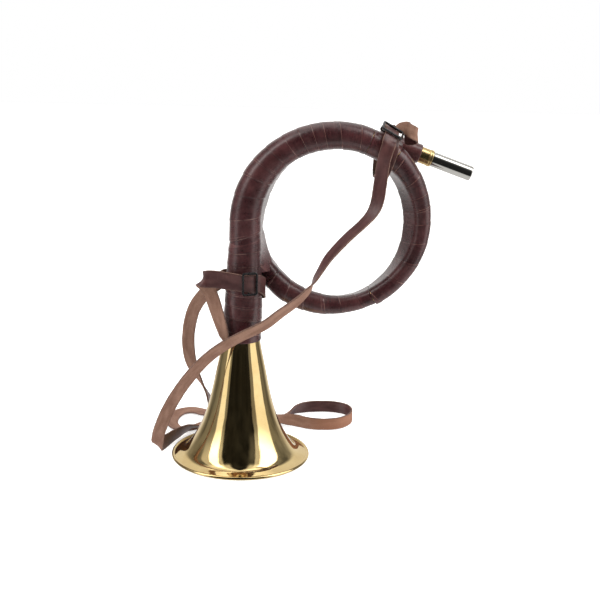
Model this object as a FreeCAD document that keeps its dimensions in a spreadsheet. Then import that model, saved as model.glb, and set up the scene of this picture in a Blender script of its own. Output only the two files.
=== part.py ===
import FreeCAD, Part
import os
import Sketcher
from math import sin, cos, pi, radians, sqrt, atan2
from FreeCAD import Vector

# Reed hunting horn: a two-and-a-half-turn conical brass tube bound in leather,
# with a spun bell, a reed mouthpiece and a leather shoulder strap held by two slides.
# Millimetres. +Z up, -Y is the front, +X the right seen from the front.
# The origin is at the centre of the bell rim on the table; the bell opens downwards.

doc = FreeCAD.newDocument("hunting_horn")
sheet = doc.addObject("Spreadsheet::Sheet", "dims")
DIMENSIONS = [
    # bell
    ("rim_radius", 57.2), ("bead_radius", 1.4), ("bead_height", 1.36), ("wire_radius", 0.85),
    ("bell_height", 104.0), ("sheet_thick", 0.6),
    # ring of turns, its tube and coverings
    ("ring_x", 73.8), ("ring_z", 199.4), ("tube_wall", 0.6),
    ("skin_thick", 0.75), ("ferrule_thick", 0.4), ("solder_gap", 0.05),
    # straight mouthpipe; the angle is where it leaves the ring
    ("exit_angle", 70.4), ("exit_radius", 71.1), ("pipe_y", 27.4),
    ("pipe_radius", 4.6), ("pipe_bore", 4.0),
    # mouthpiece: starts, ends and steps are distances along the pipe from the exit point
    ("receiver_radius", 6.6), ("receiver_start", 31.6), ("receiver_step", 39.9),
    ("receiver_end", 56.7), ("socket_radius", 5.45), ("receiver_bore", 4.8),
    ("barrel_radius", 6.0), ("barrel_bore", 5.0), ("barrel_start", 56.8), ("barrel_end", 91.2),
    ("tenon_radius", 5.4), ("tenon_spigot", 4.96), ("tenon_bore", 4.0),
    ("tenon_start", 41.0), ("tenon_end", 64.0),
    ("groove_radius", 4.85), ("groove_start", 44.0), ("groove_end", 48.0), ("seal_radius", 5.42),
    # reed
    ("plug_radius", 3.95), ("plug_start", 52.0), ("plug_end", 60.0), ("plug_bore", 2.55),
    ("shallot_radius", 2.5), ("shallot_bore", 1.7),
    ("shallot_start", 50.0), ("shallot_end", 82.0), ("shallot_flat", 0.6),
    ("tongue_width", 3.6), ("tongue_thick", 0.25),
    ("tongue_start", 58.0), ("tongue_end", 80.5), ("tongue_gap", 0.08),
    # strap and its slides
    ("strap_thick", 1.6), ("strap_width", 10.8), ("strap_end_width", 14.4),
    ("slide_x", 13.0), ("slide_z", 19.0), ("slide_wire", 1.7), ("slide_bar_wire", 1.6),
]
for number, (alias, size) in enumerate(DIMENSIONS, 2):
    sheet.set("A%d" % number, alias)
    sheet.set("B%d" % number, repr(size))
    sheet.setAlias("B%d" % number, alias)
doc.recompute()


def dim(name):
    return float(sheet.get(name))


parts = []


def keep(part, label):
    part.Label = label
    parts.append(part)


# ---------------------------------------------------------------- curves through tables
def interpolated(table, x):
    """Smooth curve through a table of (x, y) pairs, constant outside it."""
    last = len(table) - 1
    if x <= table[0][0]:
        return table[0][1]
    if x >= table[-1][0]:
        return table[-1][1]
    k = 0
    while table[k + 1][0] < x:
        k += 1

    def rise(i):
        return (table[i + 1][1] - table[i][1]) / (table[i + 1][0] - table[i][0])

    def slope(i):
        if i == 0:
            return rise(0)
        if i == last:
            return rise(last - 1)
        before, after = rise(i - 1), rise(i)
        return 0.0 if before * after <= 0 else 2 * before * after / (before + after)

    x0, y0 = table[k]
    x1, y1 = table[k + 1]
    width = x1 - x0
    f = (x - x0) / width
    return ((2 * f ** 3 - 3 * f * f + 1) * y0
            + (f ** 3 - 2 * f * f + f) * slope(k) * width
            + (3 * f * f - 2 * f ** 3) * y1
            + (f ** 3 - f * f) * slope(k + 1) * width)


def eased(start, end, fraction):
    """Blend from start to end that sets off and arrives gently."""
    share = fraction * fraction * (3 - 2 * fraction)
    return start * (1 - share) + end * share


# ---------------------------------------------------------------- centre line of the tube
# A station is a place along the tube. From 0 it is the angle in degrees travelled round
# the ring, clockwise from its left seen from the front. Below 0 it is millimetres down
# the bell branch from the ring's centre height; past EXIT_STATION each unit is a
# millimetre along the straight mouthpipe.
RING_X, RING_Z = dim("ring_x"), dim("ring_z")
UP = Vector(0, 0, 1)

# (height, outside radius) of the bell and the upright branch
BELL_RADIUS = [
    (3.05, 51.9), (4.0, 49.0), (5.6, 46.5), (8, 44.2), (14, 39.9), (22, 35.3), (32, 30.9),
    (45, 26.7), (60, 23.2), (78, 19.6), (88, 17.5), (95, 16.15), (100, 15.45), (106, 15.05),
    (120, 14.65), (134, 14.3), (151.5, 13.5), (165, 12.8), (180, 12.15), (192, 11.75),
    (200, 11.6)]
# (height, x of the branch's centre)
BRANCH_X = [(100, 0.0), (107, 0.0), (120, 1.0), (134, 1.5), (160, 1.75), (185, 2.3), (200, 2.3)]
# (station, distance from the ring's centre) on the first turn
FIRST_TURN_RADIUS = [
    (0, 71.5), (45, 70.0), (90, 68.5), (135, 69.0), (180, 70.0), (225, 70.6), (270, 71.3),
    (300, 70.9), (325, 69.4), (340, 67.2), (360, 62.0)]
# (station, outside radius of the tube)
TUBE_RADIUS = [
    (0, 11.6), (30, 11.15), (54, 10.25), (90, 9.95), (120, 9.6), (150, 7.9), (180, 6.6),
    (215, 6.1), (240, 5.6), (264, 5.2), (300, 4.9), (330, 4.75), (360, 4.6)]
# (station, outside radius of the leather round the first turn)
LEATHER_RADIUS = [
    (0, 12.95), (30, 12.5), (54, 11.6), (90, 11.3), (120, 11.0), (150, 9.0), (180, 7.6),
    (204, 7.5), (228, 7.5), (240, 7.35), (246, 7.0), (264, 7.6), (276, 8.6), (288, 9.3),
    (300, 9.6), (312, 9.4), (325, 7.2), (340, 6.2), (360, 5.9)]
# (station, y of the tube's centre): each turn lies behind the one before
TURN_Y = [
    (0, 0.0), (20, 0.15), (60, 2.0), (120, 7.0), (180, 10.0), (240, 10.6), (290, 11.2),
    (312, 12.6), (326, 15.2), (340, 18.2), (360, 18.9), (450, 20.6), (540, 23.0), (630, 25.2),
    (680, 27.0), (700, 28.4), (720, 29.0), (760, 28.6), (800, 27.6), (829.6, 27.4)]
# second turn: an ellipse, half width, half height and how far its centre is shifted in z
ELLIPSE_X, ELLIPSE_Z, ELLIPSE_SHIFT = 61.5, 68.2, -4.75

EXIT_STATION = 720 + 180 - dim("exit_angle")


def ring_point(angle, radius, y):
    """Point at a ring angle in degrees, counted anticlockwise from the right."""
    turn = radians(angle)
    return Vector(RING_X + radius * cos(turn), y, RING_Z + radius * sin(turn))


EXIT_POINT = ring_point(dim("exit_angle"), dim("exit_radius"), dim("pipe_y"))
EXIT_DIRECTION = Vector(sin(radians(dim("exit_angle"))), 0, -cos(radians(dim("exit_angle"))))


def ellipse_radius(station):
    angle = radians(180 - station)
    c, s = cos(angle), sin(angle)
    square = c * c / ELLIPSE_X / ELLIPSE_X + s * s / ELLIPSE_Z / ELLIPSE_Z
    linear = -2 * s * ELLIPSE_SHIFT / ELLIPSE_Z / ELLIPSE_Z
    constant = ELLIPSE_SHIFT * ELLIPSE_SHIFT / ELLIPSE_Z / ELLIPSE_Z - 1
    return (-linear + sqrt(linear * linear - 4 * square * constant)) / (2 * square)


def turn_radius(station):
    """Distance of the tube's centre from the ring's centre, for every turn."""
    if station <= 300:
        return interpolated(FIRST_TURN_RADIUS, station)
    if station <= 380:
        first_radius = interpolated(FIRST_TURN_RADIUS, min(station, 330))
        return eased(first_radius, ellipse_radius(station), (station - 300) / 80.0)
    if station <= 650:
        return ellipse_radius(station)
    if station <= 735:
        return eased(ellipse_radius(station), dim("exit_radius"), (station - 650) / 85.0)
    return dim("exit_radius")


def branch_centre(z):
    return Vector(interpolated(BRANCH_X, z), 0, z)


def centre(station):
    if station < 0:
        return branch_centre(RING_Z + station)
    if station <= EXIT_STATION:
        return ring_point(180 - station, turn_radius(station), interpolated(TURN_Y, station))
    return EXIT_POINT + EXIT_DIRECTION * (station - EXIT_STATION)


def tangent(station):
    reach = 0.3
    return (centre(station + reach) - centre(station - reach)).normalize()


def tube_radius(station):
    if station < 0:
        return interpolated(BELL_RADIUS, RING_Z + station)
    if station < 360:
        return interpolated(TUBE_RADIUS, station)
    return dim("pipe_radius")


def branch_station(z):
    return z - RING_Z


# ---------------------------------------------------------------- shape helpers
def circle_wire(middle, normal, radius):
    return Part.Wire([Part.Circle(middle, normal, radius).toShape()])


def loft(wires):
    solid = Part.makeLoft(wires, True, False)
    if solid.Volume < 0:
        solid = solid.reversed()
    return solid


def tube(stations, outer_radius, inner_radius):
    """Hollow tube along the centre line; both radii are functions of the station."""
    outer, inner = [
        loft([circle_wire(centre(st), tangent(st), radius(st)) for st in stations])
        for radius in (outer_radius, inner_radius)]
    return outer.cut(inner)


def largest_solid(shape):
    return max(shape.Solids, key=lambda solid: solid.Volume)


def add_shape(label, shape, placement=None):
    if shape.isNull() or not shape.isValid():
        raise RuntimeError("bad shape " + label)
    if shape.ShapeType == "Compound" and len(shape.Solids) == 1:
        shape = shape.Solids[0]
    feature = doc.addObject("Part::Feature", label)
    own = shape.Placement
    feature.Shape = shape
    feature.Placement = own if placement is None else placement.multiply(own)
    keep(feature, label)


# ---------------------------------------------------------------- sketch helpers
def body_with_sketch(label, plane_role, sketch_name):
    body = doc.addObject("PartDesign::Body", label + "_body")
    sketch = body.newObject("Sketcher::SketchObject", sketch_name)
    plane = [item for item in body.Origin.OriginFeatures if item.Role == plane_role][0]
    sketch.AttachmentSupport = (plane, [""])
    sketch.MapMode = "FlatFace"
    return body, sketch


def revolve(body, sketch, name):
    turning = body.newObject("PartDesign::Revolution", name)
    turning.Profile = sketch
    turning.ReferenceAxis = (sketch, ["V_Axis"])
    turning.Angle = 360.0
    body.Tip = turning


def cell_value(expression):
    """Value of a spaced sum or difference of cells and plain numbers."""
    total, sign = 0.0, 1.0
    for word in expression.split():
        if word in ("+", "-"):
            sign = 1.0 if word == "+" else -1.0
        else:
            total += sign * (dim(word[5:]) if word.startswith("dims.") else float(word))
    return total


def bind(sketch, kind, references, expression):
    """Dimension of the sketch that follows an expression of cells."""
    constraint = Sketcher.Constraint(kind, *(list(references) + [cell_value(expression)]))
    index = sketch.addConstraint(constraint)
    sketch.setExpression("Constraints[%d]" % index, expression)


def closed_outline(sketch, corners):
    """Lines joined corner to corner; returns their numbers in the sketch."""
    points = [Vector(x, y, 0) for x, y in corners]
    lines = [sketch.addGeometry(Part.LineSegment(start, end), False)
             for start, end in zip(points, points[1:] + points[:1])]
    for line, following in zip(lines, lines[1:] + lines[:1]):
        sketch.addConstraint(Sketcher.Constraint("Coincident", line, 2, following, 1))
    return lines


def turned(label, outline, placement):
    """Turned piece: closed outline of (radius, length) expressions, revolved about its axis."""
    body, sketch = body_with_sketch(label, "XZ_Plane", label + "_outline")
    corners = [(cell_value(radius), cell_value(along)) for radius, along in outline]
    lines = closed_outline(sketch, corners)
    for line, (radius, along) in zip(lines, outline):
        bind(sketch, "DistanceX", (-1, 1, line, 1), radius)
        bind(sketch, "DistanceY", (-1, 1, line, 1), along)
    revolve(body, sketch, label + "_turning")
    body.Placement = placement
    doc.recompute()
    keep(body, label)


# ---------------------------------------------------------------- bell
# heights at which the bell's outside is sampled, above the rim bead
BELL_HEIGHTS = [3.05, 4.0, 5.6, 8, 11, 14, 18, 22, 27, 32, 38, 45, 52, 60, 69, 78, 88, 95, 100,
                dim("bell_height")]


def make_bell():
    """Spun sheet ending in a bead, flat where it stands, with a channel for the rim wire."""
    bead_radius, bead_height = dim("bead_radius"), dim("bead_height")
    bead_x = dim("rim_radius") - bead_radius
    bead_centre = Vector(bead_x, bead_height, 0)
    half_flat = sqrt(bead_radius ** 2 - bead_height ** 2)
    outer_angle, inner_angle = radians(148), radians(180)

    def bead_point(angle):
        return bead_centre + Vector(bead_radius * cos(angle), bead_radius * sin(angle), 0)

    outer = [bead_point(outer_angle)]
    outer += [Vector(interpolated(BELL_RADIUS, z), z, 0) for z in BELL_HEIGHTS]
    inner = [bead_point(inner_angle)]
    last = len(outer) - 1
    for k in range(1, last + 1):
        along = outer[min(k + 1, last)] - outer[k - 1]
        inward = Vector(-along.y, along.x, 0)
        inward = inward * (1.0 / inward.Length)
        if inward.x > 0:
            inward = inward * -1
        point = outer[k] + inward * dim("sheet_thick")
        # the top edge is level
        inner.append(Vector(point.x, outer[k].y if k == last else point.y, 0))

    outer_curve, inner_curve = Part.BSplineCurve(), Part.BSplineCurve()
    outer_curve.interpolate(outer)
    inner_curve.interpolate(inner)
    bead = Part.Circle(bead_centre, Vector(0, 0, 1), bead_radius)
    flat_right = atan2(-bead_height, half_flat)
    flat_left = pi * 2 + atan2(-bead_height, -half_flat)
    channel_radius = dim("wire_radius") + dim("solder_gap")

    body, sketch = body_with_sketch("bell", "XZ_Plane", "bell_section")
    for geometry in (
            Part.ArcOfCircle(bead, flat_right, outer_angle),
            outer_curve,
            Part.LineSegment(outer[-1], inner[-1]),
            inner_curve,
            Part.ArcOfCircle(bead, inner_angle, flat_left),
            Part.LineSegment(Vector(bead_x - half_flat, 0, 0), Vector(bead_x + half_flat, 0, 0))):
        sketch.addGeometry(geometry, False)
    channel = sketch.addGeometry(
        Part.Circle(bead_centre, Vector(0, 0, 1), channel_radius), False)
    bind(sketch, "Radius", (channel,), "dims.wire_radius + dims.solder_gap")
    revolve(body, sketch, "bell_spinning")
    doc.recompute()
    keep(body, "bell")


def make_rim_wire():
    ring = doc.addObject("Part::Torus", "rim_wire_ring")
    ring.setExpression("Radius1", "dims.rim_radius - dims.bead_radius")
    ring.setExpression("Radius2", "dims.wire_radius")
    ring.setExpression(".Placement.Base.z", "dims.bead_height")
    keep(ring, "rim_wire")


make_bell()
make_rim_wire()

# ---------------------------------------------------------------- brass tubes
BRANCH_JOINT_Z = 172.0      # where the bell branch meets the first turn's tube
PIPE_LENGTH = 39.6          # straight part of the mouthpipe
PIPE_STATIONS = ([720.2] + list(range(728, 828, 8))
                 + [EXIT_STATION + along for along in (0, 10, 20, 30, PIPE_LENGTH)])


def wall_radius(station):
    return tube_radius(station) - dim("tube_wall")


for label, stations, bore in (
        ("bell_branch",
         [branch_station(dim("bell_height") + 0.05)] + list(range(-90, -33, 8))
         + [branch_station(BRANCH_JOINT_Z)], wall_radius),
        ("coil_front_tube",
         [branch_station(BRANCH_JOINT_Z) + 0.06, -20, -11, -2] + list(range(6, 336, 8))
         + [338.0], wall_radius),
        ("coil_rear_tube", [338.4] + list(range(346, 716, 9)) + [719.8], wall_radius),
        ("mouthpipe", PIPE_STATIONS, lambda station: dim("pipe_bore"))):
    add_shape(label, tube(stations, tube_radius, bore))


def ferrule(label, stations, extra_gap=0.0):
    """Thin sleeve over a joint, a solder gap clear of the tube."""
    gap = dim("solder_gap") + extra_gap
    add_shape(label, tube(stations,
                          lambda station: tube_radius(station) + gap + dim("ferrule_thick"),
                          lambda station: tube_radius(station) + gap))


ferrule("bell_ferrule", [branch_station(z) for z in (102.6, 104, 106, 108, 110.4)],
        extra_gap=0.1)
ferrule("branch_ferrule", [branch_station(BRANCH_JOINT_Z + dz) for dz in (-5, -2, 2, 5)])
ferrule("coil_ferrule", [333, 336, 339, 342, 345])
ferrule("mouthpipe_ferrule", [714, 717, 720, 723, 726])

STAY_RADIUS = 1.4
STAY_GAP = 0.06


def stay(station):
    """Soldered rod from the first turn to the second, between the tube surfaces."""
    start = centre(station)
    across = centre(station + 360) - start
    distance = across.Length
    direction = across.normalize()
    first_radius, second_radius = tube_radius(station), tube_radius(station + 360)
    return Part.makeCylinder(STAY_RADIUS, distance - first_radius - second_radius - 2 * STAY_GAP,
                             start + direction * (first_radius + STAY_GAP), direction)


add_shape("coil_stays", Part.makeCompound([stay(station) for station in (150, 195, 240, 285)]))

# ---------------------------------------------------------------- leather skins
BRANCH_LEATHER = 1.35       # from the branch's brass to the outside of its leather
BRANCH_LEATHER_INNER = 0.68
PIPE_LEATHER_RADIUS = 5.9   # outside radius of the leather round the second and third turns
LEATHER_GAP = 0.12          # between neighbouring skins
HULL_POINTS = 44
BUNDLE_START = -14.0        # ring station where the skin round all three turns begins


def convex_chain(points):
    """Half of the convex hull of sorted points."""
    chain = []
    for x, y in points:
        while len(chain) >= 2:
            (x0, y0), (x1, y1) = chain[-2:]
            if (x1 - x0) * (y - y0) - (y1 - y0) * (x - x0) > 0:
                break
            chain.pop()
        chain.append((x, y))
    return chain


def hull_wire(angle, circles):
    """Closed outline a tight skin takes round some tubes, in the half-plane at a ring angle.

    Each circle is (distance from the ring's centre, y, radius).
    """
    points = []
    for distance, y, radius in circles:
        for k in range(96):
            turn = 2 * pi * k / 96
            points.append((distance + radius * cos(turn), y + radius * sin(turn)))
    points = sorted(set(points))
    hull = convex_chain(points)[:-1] + convex_chain(reversed(points))[:-1]
    count = len(hull)
    middle = sum(point[0] for point in hull) / count
    lengths = []
    for i in range(count):
        start, end = hull[i], hull[(i + 1) % count]
        lengths.append(sqrt((end[0] - start[0]) ** 2 + (end[1] - start[1]) ** 2))
    perimeter = sum(lengths)

    # evenly spaced points, starting where the outline faces the front
    i = min(range(count), key=lambda n: (hull[n][1], abs(hull[n][0] - middle)))
    passed = 0.0
    outline = []
    for k in range(HULL_POINTS):
        wanted = perimeter * k / HULL_POINTS
        while passed + lengths[i % count] < wanted:
            passed += lengths[i % count]
            i += 1
        f = (wanted - passed) / max(lengths[i % count], 1e-9)
        start, end = hull[i % count], hull[(i + 1) % count]
        outline.append(ring_point(angle, start[0] + f * (end[0] - start[0]),
                                  start[1] + f * (end[1] - start[1])))
    curve = Part.BSplineCurve()
    curve.interpolate(outline, PeriodicFlag=True)
    return Part.Wire([curve.toShape()])


def first_turn(station):
    """Skin circle of the first turn, or of the upright branch below the ring's centre."""
    if station < 0:
        # the branch is cut by the half-plane; its top x gives the first guess of the height
        angle = radians(-station)
        distance = (RING_X - BRANCH_X[-1][1]) / cos(angle)
        z = RING_Z - distance * sin(angle)
        distance = (RING_X - interpolated(BRANCH_X, z)) / cos(angle)
        return (distance, 0.0, interpolated(BELL_RADIUS, z) + BRANCH_LEATHER)
    return (turn_radius(station), interpolated(TURN_Y, station),
            interpolated(LEATHER_RADIUS, station))


def second_turn(station):
    return (turn_radius(station + 360), interpolated(TURN_Y, station + 360),
            PIPE_LEATHER_RADIUS)


def third_turn(station):
    """Skin circle of the third turn, or of the straight pipe once it has left the ring."""
    full = station + 720
    if full <= EXIT_STATION:
        return (turn_radius(full), interpolated(TURN_Y, full), PIPE_LEATHER_RADIUS)
    angle = radians(180 - station)
    start_x, start_z = EXIT_POINT.x - RING_X, EXIT_POINT.z - RING_Z
    along = ((sin(angle) * start_x - cos(angle) * start_z)
             / (cos(angle) * EXIT_DIRECTION.z - sin(angle) * EXIT_DIRECTION.x))
    x, z = start_x + EXIT_DIRECTION.x * along, start_z + EXIT_DIRECTION.z * along
    return (sqrt(x * x + z * z), dim("pipe_y"), PIPE_LEATHER_RADIUS)


TWO_TURNS = (first_turn, second_turn)
THREE_TURNS = (first_turn, second_turn, third_turn)


def hull_loft(stations, turns, growth=0.0):
    wires = []
    for station in stations:
        circles = [turn(station) for turn in turns]
        wires.append(hull_wire(180 - station, [(distance, y, radius + growth)
                                               for distance, y, radius in circles]))
    return loft(wires)


def skin(stations, turns):
    return hull_loft(stations, turns).cut(hull_loft(stations, turns, -dim("skin_thick")))


for label, stations, turns in (
        ("wrap_left_bundle", [BUNDLE_START, -9, -4, 1] + list(range(7, 113, 7)), THREE_TURNS),
        ("top_patch", [112.25, 117, 122, 127, 131.0], THREE_TURNS),
        ("wrap_right_bundle", [131.3] + list(range(138, 235, 8)) + [242.8], TWO_TURNS),
        ("wrap_lower_bundle", [243.1] + list(range(250, 307, 7)) + [312, 316.0], TWO_TURNS)):
    add_shape(label, skin(stations, turns))


def branch_loft(heights, thickness):
    """Solid round the branch's brass; thickness is a function of the height."""
    return loft([circle_wire(branch_centre(z), UP, interpolated(BELL_RADIUS, z) + thickness(z))
                 for z in heights])


def make_crossing_patch():
    """Skin over the two turns where they pass behind the upright branch."""
    shell = skin([316.3] + list(range(321, 342, 5)) + [345.7], TWO_TURNS)
    # the branch's own skin takes its room
    room = branch_loft([100, 120, 140, 155, 170, 185, 200, 215],
                       lambda z: BRANCH_LEATHER + LEATHER_GAP)
    add_shape("crossing_patch", largest_solid(shell.cut(room)))


def make_branch_skin():
    """Skin on the upright branch, from the bell's throat to the three-turn bundle."""
    heights = [101.0, 102.4, 104, 107, 112, 120, 130, 140, 150, 158, 164, 170, 178, 186, 194, 202]
    # the lower edge is drawn in
    outer = branch_loft(heights, lambda z: BRANCH_LEATHER if z > 103 else 1.15 + 0.1 * (z - 101))
    shell = outer.cut(branch_loft(heights, lambda z: BRANCH_LEATHER_INNER))
    # cut back just below the half-plane where the bundle's skin begins
    angle = radians(180 - (BUNDLE_START - 0.25))
    reach, half_depth = 150.0, 60
    outward = Vector(cos(angle), 0, sin(angle)) * reach
    upward = Vector(sin(angle), 0, -cos(angle)) * reach
    corner = Vector(RING_X, -half_depth, RING_Z)
    corners = [corner, corner + outward, corner + outward + upward, corner + upward, corner]
    face = Part.Face(Part.makePolygon(corners))
    shell = shell.cut(face.extrude(Vector(0, 2 * half_depth, 0)))
    add_shape("wrap_bell_branch", largest_solid(shell))


def make_mouthpipe_cuff():
    """Cuff on the straight mouthpipe, cut clear of the top patch and the right bundle."""
    # (distance from the exit point, outside radius)
    profile = [(8.0, 7.1), (14, 7.4), (22, 7.9), (30, 8.15), (38, 8.25), (44.5, 8.2),
               (46.3, 7.95)]
    # (start, length, radius): bore over the pipe, wider bore over the receiver
    bores = [(7.0, 24.0, 5.25), (30.9, 17.0, 6.7)]
    shell = loft([circle_wire(EXIT_POINT + EXIT_DIRECTION * along, EXIT_DIRECTION, radius)
                  for along, radius in profile])
    for start, length, radius in bores:
        shell = shell.cut(Part.makeCylinder(
            radius, length, EXIT_POINT + EXIT_DIRECTION * start, EXIT_DIRECTION))
    shell = shell.cut(hull_loft([108, 112.25, 117, 122, 127, 131.2], THREE_TURNS, LEATHER_GAP))
    shell = shell.cut(hull_loft([131.0, 138, 146, 154, 162], TWO_TURNS, LEATHER_GAP))
    add_shape("mouthpipe_cuff", largest_solid(shell))


make_crossing_patch()
make_branch_skin()
make_mouthpipe_cuff()

# ---------------------------------------------------------------- mouthpiece
# Built along local Z, then laid on the mouthpipe's axis.
ON_PIPE = FreeCAD.Placement(EXIT_POINT, FreeCAD.Rotation(UP, EXIT_DIRECTION))

turned("mouthpiece_receiver", [
    ("dims.receiver_bore", "dims.receiver_start"),
    ("dims.receiver_radius - 0.9", "dims.receiver_start"),
    ("dims.receiver_radius", "dims.receiver_start + 1.2"),
    ("dims.receiver_radius", "dims.receiver_end - 3.2"),
    ("dims.receiver_radius + 0.25", "dims.receiver_end - 3.0"),
    ("dims.receiver_radius + 0.25", "dims.receiver_end - 0.3"),
    ("dims.receiver_radius - 0.05", "dims.receiver_end"),
    ("dims.socket_radius", "dims.receiver_end"),
    ("dims.socket_radius", "dims.receiver_step"),
    ("dims.receiver_bore", "dims.receiver_step")], ON_PIPE)
turned("mouthpiece_barrel", [
    ("dims.barrel_bore", "dims.barrel_start"),
    ("dims.barrel_radius - 0.15", "dims.barrel_start"),
    ("dims.barrel_radius", "dims.barrel_start + 0.15"),
    ("dims.barrel_radius", "dims.barrel_end - 1.4"),
    ("dims.barrel_radius - 0.12", "dims.barrel_end - 0.75"),
    ("dims.barrel_radius - 0.42", "dims.barrel_end - 0.2"),
    ("dims.barrel_radius - 0.8", "dims.barrel_end"),
    ("dims.barrel_bore - 0.9", "dims.barrel_end"),
    ("dims.barrel_bore - 1.1", "dims.barrel_end - 0.3"),
    ("dims.barrel_bore - 1.1", "dims.barrel_end - 2.4"),
    ("dims.barrel_bore", "dims.barrel_end - 3.4")], ON_PIPE)
turned("mouthpiece_tenon", [
    ("dims.tenon_bore", "dims.tenon_start"),
    ("dims.tenon_radius", "dims.tenon_start"),
    ("dims.tenon_radius", "dims.groove_start"),
    ("dims.groove_radius", "dims.groove_start"),
    ("dims.groove_radius", "dims.groove_end"),
    ("dims.tenon_radius", "dims.groove_end"),
    ("dims.tenon_radius", "dims.barrel_start - 0.05"),
    ("dims.tenon_spigot", "dims.barrel_start - 0.05"),
    ("dims.tenon_spigot", "dims.tenon_end"),
    ("dims.tenon_bore", "dims.tenon_end")], ON_PIPE)
turned("tenon_seal", [
    ("dims.groove_radius + 0.02", "dims.groove_start + 0.05"),
    ("dims.seal_radius", "dims.groove_start + 0.05"),
    ("dims.seal_radius", "dims.groove_end - 0.05"),
    ("dims.groove_radius + 0.02", "dims.groove_end - 0.05")], ON_PIPE)

# ---------------------------------------------------------------- reed
# A plug carries a tube cut flat on its local +Y side; the tongue lies over the flat.
FLAT_Y = dim("shallot_flat")
TONGUE_Y = FLAT_Y + dim("tongue_gap")
PLUG_END = dim("plug_end")


def centred_box(width, depth, length, y, z):
    """Box centred on local x = 0, reaching up from y and z."""
    return Part.makeBox(width, depth, length, Vector(-width / 2, y, z))


def make_plug():
    start = dim("plug_start")
    plug = Part.makeCylinder(dim("plug_radius"), PLUG_END - start, Vector(0, 0, start))
    plug = plug.cut(Part.makeCylinder(dim("plug_bore"), 60, Vector(0, 0, start - 10)))
    # slot for the tongue's root and its wedge
    plug = plug.cut(centred_box(4.4, 2.6, 4.2, FLAT_Y - 0.05, PLUG_END - 4.1))
    add_shape("reed_plug", plug, ON_PIPE)


def make_shallot():
    closed_tip = 1.5
    base = Vector(0, 0, dim("shallot_start"))
    length = dim("shallot_end") - dim("shallot_start")
    shallot = Part.makeCylinder(dim("shallot_radius"), length, base)
    shallot = shallot.cut(Part.makeCylinder(dim("shallot_bore"), length - closed_tip, base))
    shallot = shallot.cut(centred_box(8, 4, dim("shallot_end") - PLUG_END + 4.3,
                                      FLAT_Y, PLUG_END - 4.2))
    add_shape("reed_shallot", shallot, ON_PIPE)


def make_tongue():
    root = 1.5      # length behind the line the tongue is tilted about
    tilt = -1.6     # degrees
    start = dim("tongue_start")
    tongue = centred_box(dim("tongue_width"), dim("tongue_thick"),
                         dim("tongue_end") - start + root, TONGUE_Y, start - root)
    tongue.rotate(Vector(0, TONGUE_Y, start), Vector(1, 0, 0), tilt)
    add_shape("reed_tongue", tongue, ON_PIPE)


def make_wedge():
    wedge = centred_box(3.4, 0.7, 3.4, TONGUE_Y + dim("tongue_thick") + 0.16, PLUG_END - 3.9)
    add_shape("reed_wedge", wedge, ON_PIPE)


make_plug()
make_shallot()
make_tongue()
make_wedge()

# ---------------------------------------------------------------- places of the strap's ends
# The upper end goes round the bundle of turns at ring angle 60 degrees, the lower end
# round the upright branch.
UPPER_ANGLE = radians(60.0)
UPPER_OUT = Vector(cos(UPPER_ANGLE), 0, sin(UPPER_ANGLE))
UPPER_ALONG = Vector(sin(UPPER_ANGLE), 0, -cos(UPPER_ANGLE))
UPPER_RADIUS, UPPER_Y = 70.0, 9.0       # middle of the upper loop
LOWER_X, LOWER_Z = 1.6, 151.5           # middle of the lower loop
INNER_LAYER, OUTER_LAYER = 13.4, 15.25  # radii of the two layers round the upper bundle


def upper_place(distance, y, along):
    """Out from the ring's centre, in depth, and clockwise along the tube."""
    return Vector(RING_X, 0, RING_Z) + UPPER_OUT * distance + Vector(0, y, 0) + UPPER_ALONG * along


def upper_arc(degrees_forward, radius, along):
    """Round the upper bundle: angle from straight outward towards the front."""
    angle = radians(degrees_forward)
    return upper_place(UPPER_RADIUS + radius * cos(angle), UPPER_Y - radius * sin(angle), along)


def lower_arc(degrees_right, radius, z):
    """Round the upright branch: angle from the front towards the right."""
    angle = radians(degrees_right)
    return Vector(LOWER_X + radius * sin(angle), -radius * cos(angle), z)


# ---------------------------------------------------------------- strap
def strap_run(place, width, rows):
    """Strap keys: three arguments of place, the direction of the width, width added."""
    return [(place(*row[:3]), Vector(*row[3:6]), width + row[6]) for row in rows]


STRAP_WIDTH, END_WIDTH = dim("strap_width"), dim("strap_end_width")
STRAP_THICK = dim("strap_thick")
TIP_WIDTH = 2.4
TABLE_GAP = 0.35    # least height of the strap above the table
SAMPLE_STEP = 5.0

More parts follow.
